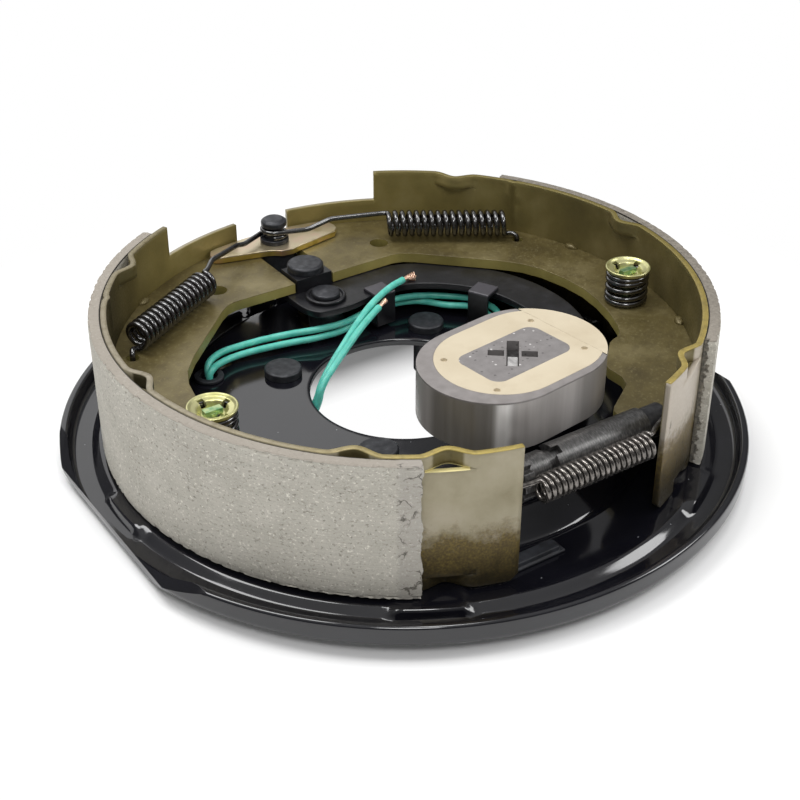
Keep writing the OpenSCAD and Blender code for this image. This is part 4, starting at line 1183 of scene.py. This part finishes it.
# pieces that keep their solid's form: edges eased, finish added
# node: (piece, body, finish, slot, edge in mm)
dressed = {
    "mounting_studs": ("mountingStudHeads", "plate", "oxide", "black_oxide", 0.45),
    "anchor_post": ("anchorPostForging", "plate", "oxide", "black_oxide", 0.4),
    "anchor_washer": ("anchorPostWasher", "plate", "oxide", "black_oxide", 0.35),
    "guide_plate": ("shoeGuideBlank", "plate", "yellow", "yellow_zinc", 0.45),
    "cam_block": ("camBlockForging", "arm", "armSteel", "arm_steel", 0.5),
    "cam_rivet": ("camRivetHead", "arm", "oxide", "black_oxide", 0.4),
    "magnet_post": ("magnetPostTurned", "arm", "dark", "dark_steel", 0.25),
    "magnet_clip": ("magnetClipStrip", "arm", "zinc", "adjuster_steel", 0.2),
    "magnet_core": ("magnetPolePiece", "magnet", "pole", "magnet_core", 0.15),
    "magnet_coil": ("magnetWinding", "magnet", "winding", "enamelled_copper", 0.2),
    "primary_web": ("primaryWebBlank", "primary_shoe", "olive", "olive_zinc", 0.35),
    "secondary_web": ("secondaryWebBlank", "secondary_shoe", "olive", "olive_zinc", 0.35),
    "primary_hold_pin": ("primaryHoldNail", "plate", "greenZinc", "yellow_zinc", 0.5),
    "secondary_hold_pin": ("secondaryHoldNail", "plate", "greenZinc", "yellow_zinc", 0.5),
    "adjuster_barrel": ("adjusterBarrelTube", "secondary_shoe", "zinc", "adjuster_steel", 0.35),
    "adjuster_socket": ("adjusterSocketEnd", "secondary_shoe", "dark", "dark_steel", 0.4),
    "adjuster_fork": ("adjusterForkEnd", "secondary_shoe", "dark", "dark_steel", 0.4),
    "adjuster_screw": ("adjusterScrewBar", "star", "zinc", "adjuster_steel", 0.3),
    "star_wheel": ("starWheelTeeth", "star", "zinc", "adjuster_steel", 0.3),
    "slot_plug": ("slotPlugMoulding", "plate", "rubber", "black_rubber", 0.6),
    "wire_grommet": ("wireGrommetRing", "plate", "rubber", "black_rubber", 0.5),
}
for node, (piece, body, coat, slotName, edge) in dressed.items():
    thing = eased(copyOf(node, piece), edge)
    finished(thing, body, finish[coat], node)
    print("dressed", node, len(thing.data.polygons))


# floor and lights

def floorFinish():
    made = bpy.data.materials.new("paleStudioFloor")
    made.use_nodes = True
    m = Nodes(made.node_tree)
    m.tree.nodes.clear()
    m.place = m.put("ShaderNodeTexCoord").outputs["Object"]
    away = m.put("ShaderNodeVectorMath", {0: m.place}, operation="LENGTH").outputs["Value"]
    seen = m.put("ShaderNodeLightPath").outputs["Is Camera Ray"]
    # painted light: the floor seen through the spindle hole glows white for the camera, fading towards +Y so
    # that part of the plate's shadow stays
    middle = m.apart((0.02, 0.03, 0))
    hole = m.times(m.spread(middle, 0.07, 0.05), m.along("Y", 0.06, 0.035, 0.2, 1.0))
    fade = m.maths("MAXIMUM", m.spread(away, 0.17, 0.26), hole)
    matt = m.put("ShaderNodeBsdfDiffuse", {"Color": "#f4f4f4"})
    white = m.put("ShaderNodeEmission", {"Color": (1, 1, 1, 1), "Strength": 1.0})
    both = m.put("ShaderNodeMixShader", {0: m.times(seen, fade), 1: matt.outputs[0], 2: white.outputs[0]})
    m.put("ShaderNodeOutputMaterial", {"Surface": both.outputs[0]})
    return made


far = 3000
corners = [(-far, -far, 0), (far, -far, 0), (far, far, 0), (-far, far, 0)]
floor = link("studioFloor", meshFrom("studioFloor", corners, [(0, 1, 2, 3)]))
floor.data.materials.append(floorFinish())

world = bpy.data.worlds.new("studioRoom")
bpy.context.scene.world = world
world.use_nodes = True
room = Nodes(world.node_tree)
room.tree.nodes.clear()
path = room.put("ShaderNodeLightPath")
clear = room.put("ShaderNodeBackground", {"Color": (1, 1, 1, 1), "Strength": 1.0})
# mirrors see a darker wall below the ceiling, so black parts stay black
rise = room.axis("Z", room.put("ShaderNodeTexCoord").outputs["Generated"])
wall = room.maths("SUBTRACT", room.spread(rise, 0.45, 0.9, 0.16, 0.62), 0.5)
bright = room.maths("ADD", 0.5, room.times(path.outputs["Is Glossy Ray"], wall))
lit = room.put("ShaderNodeBackground", {"Color": (1, 1, 1, 1), "Strength": bright})
sky = room.put("ShaderNodeMixShader", {0: path.outputs["Is Camera Ray"], 1: lit.outputs[0],
                                       2: clear.outputs[0]})
room.put("ShaderNodeOutputWorld", {"Surface": sky.outputs[0]})

# square panels: where each stands and its width in metres, and its watts
lamps = {
    "keyPanel": ((-0.3, 0.3, 1.0), 0.5, 5.4),
    "backPanel": ((0.17, 1.08, 0.62), 0.9, 2.6),
    "topPanel": ((0.06, -0.12, 1.15), 0.22, 2.0),
    "fillPanel": ((0.8, -0.5, 0.7), 0.4, 3.5),
    "frontPanel": ((-0.42, -0.66, 0.95), 0.3, 3.2),
}
for name, (place, size, power) in lamps.items():
    lamp = bpy.data.lights.new(name, "AREA")
    lamp.shape = "SQUARE"
    lamp.size = size
    lamp.energy = power
    holder = link(name, lamp)
    holder.location = place
    holder.rotation_euler = (Vector((0, 0, 0.03)) - Vector(place)).to_track_quat("-Z", "Y").to_euler()

print("scene done")
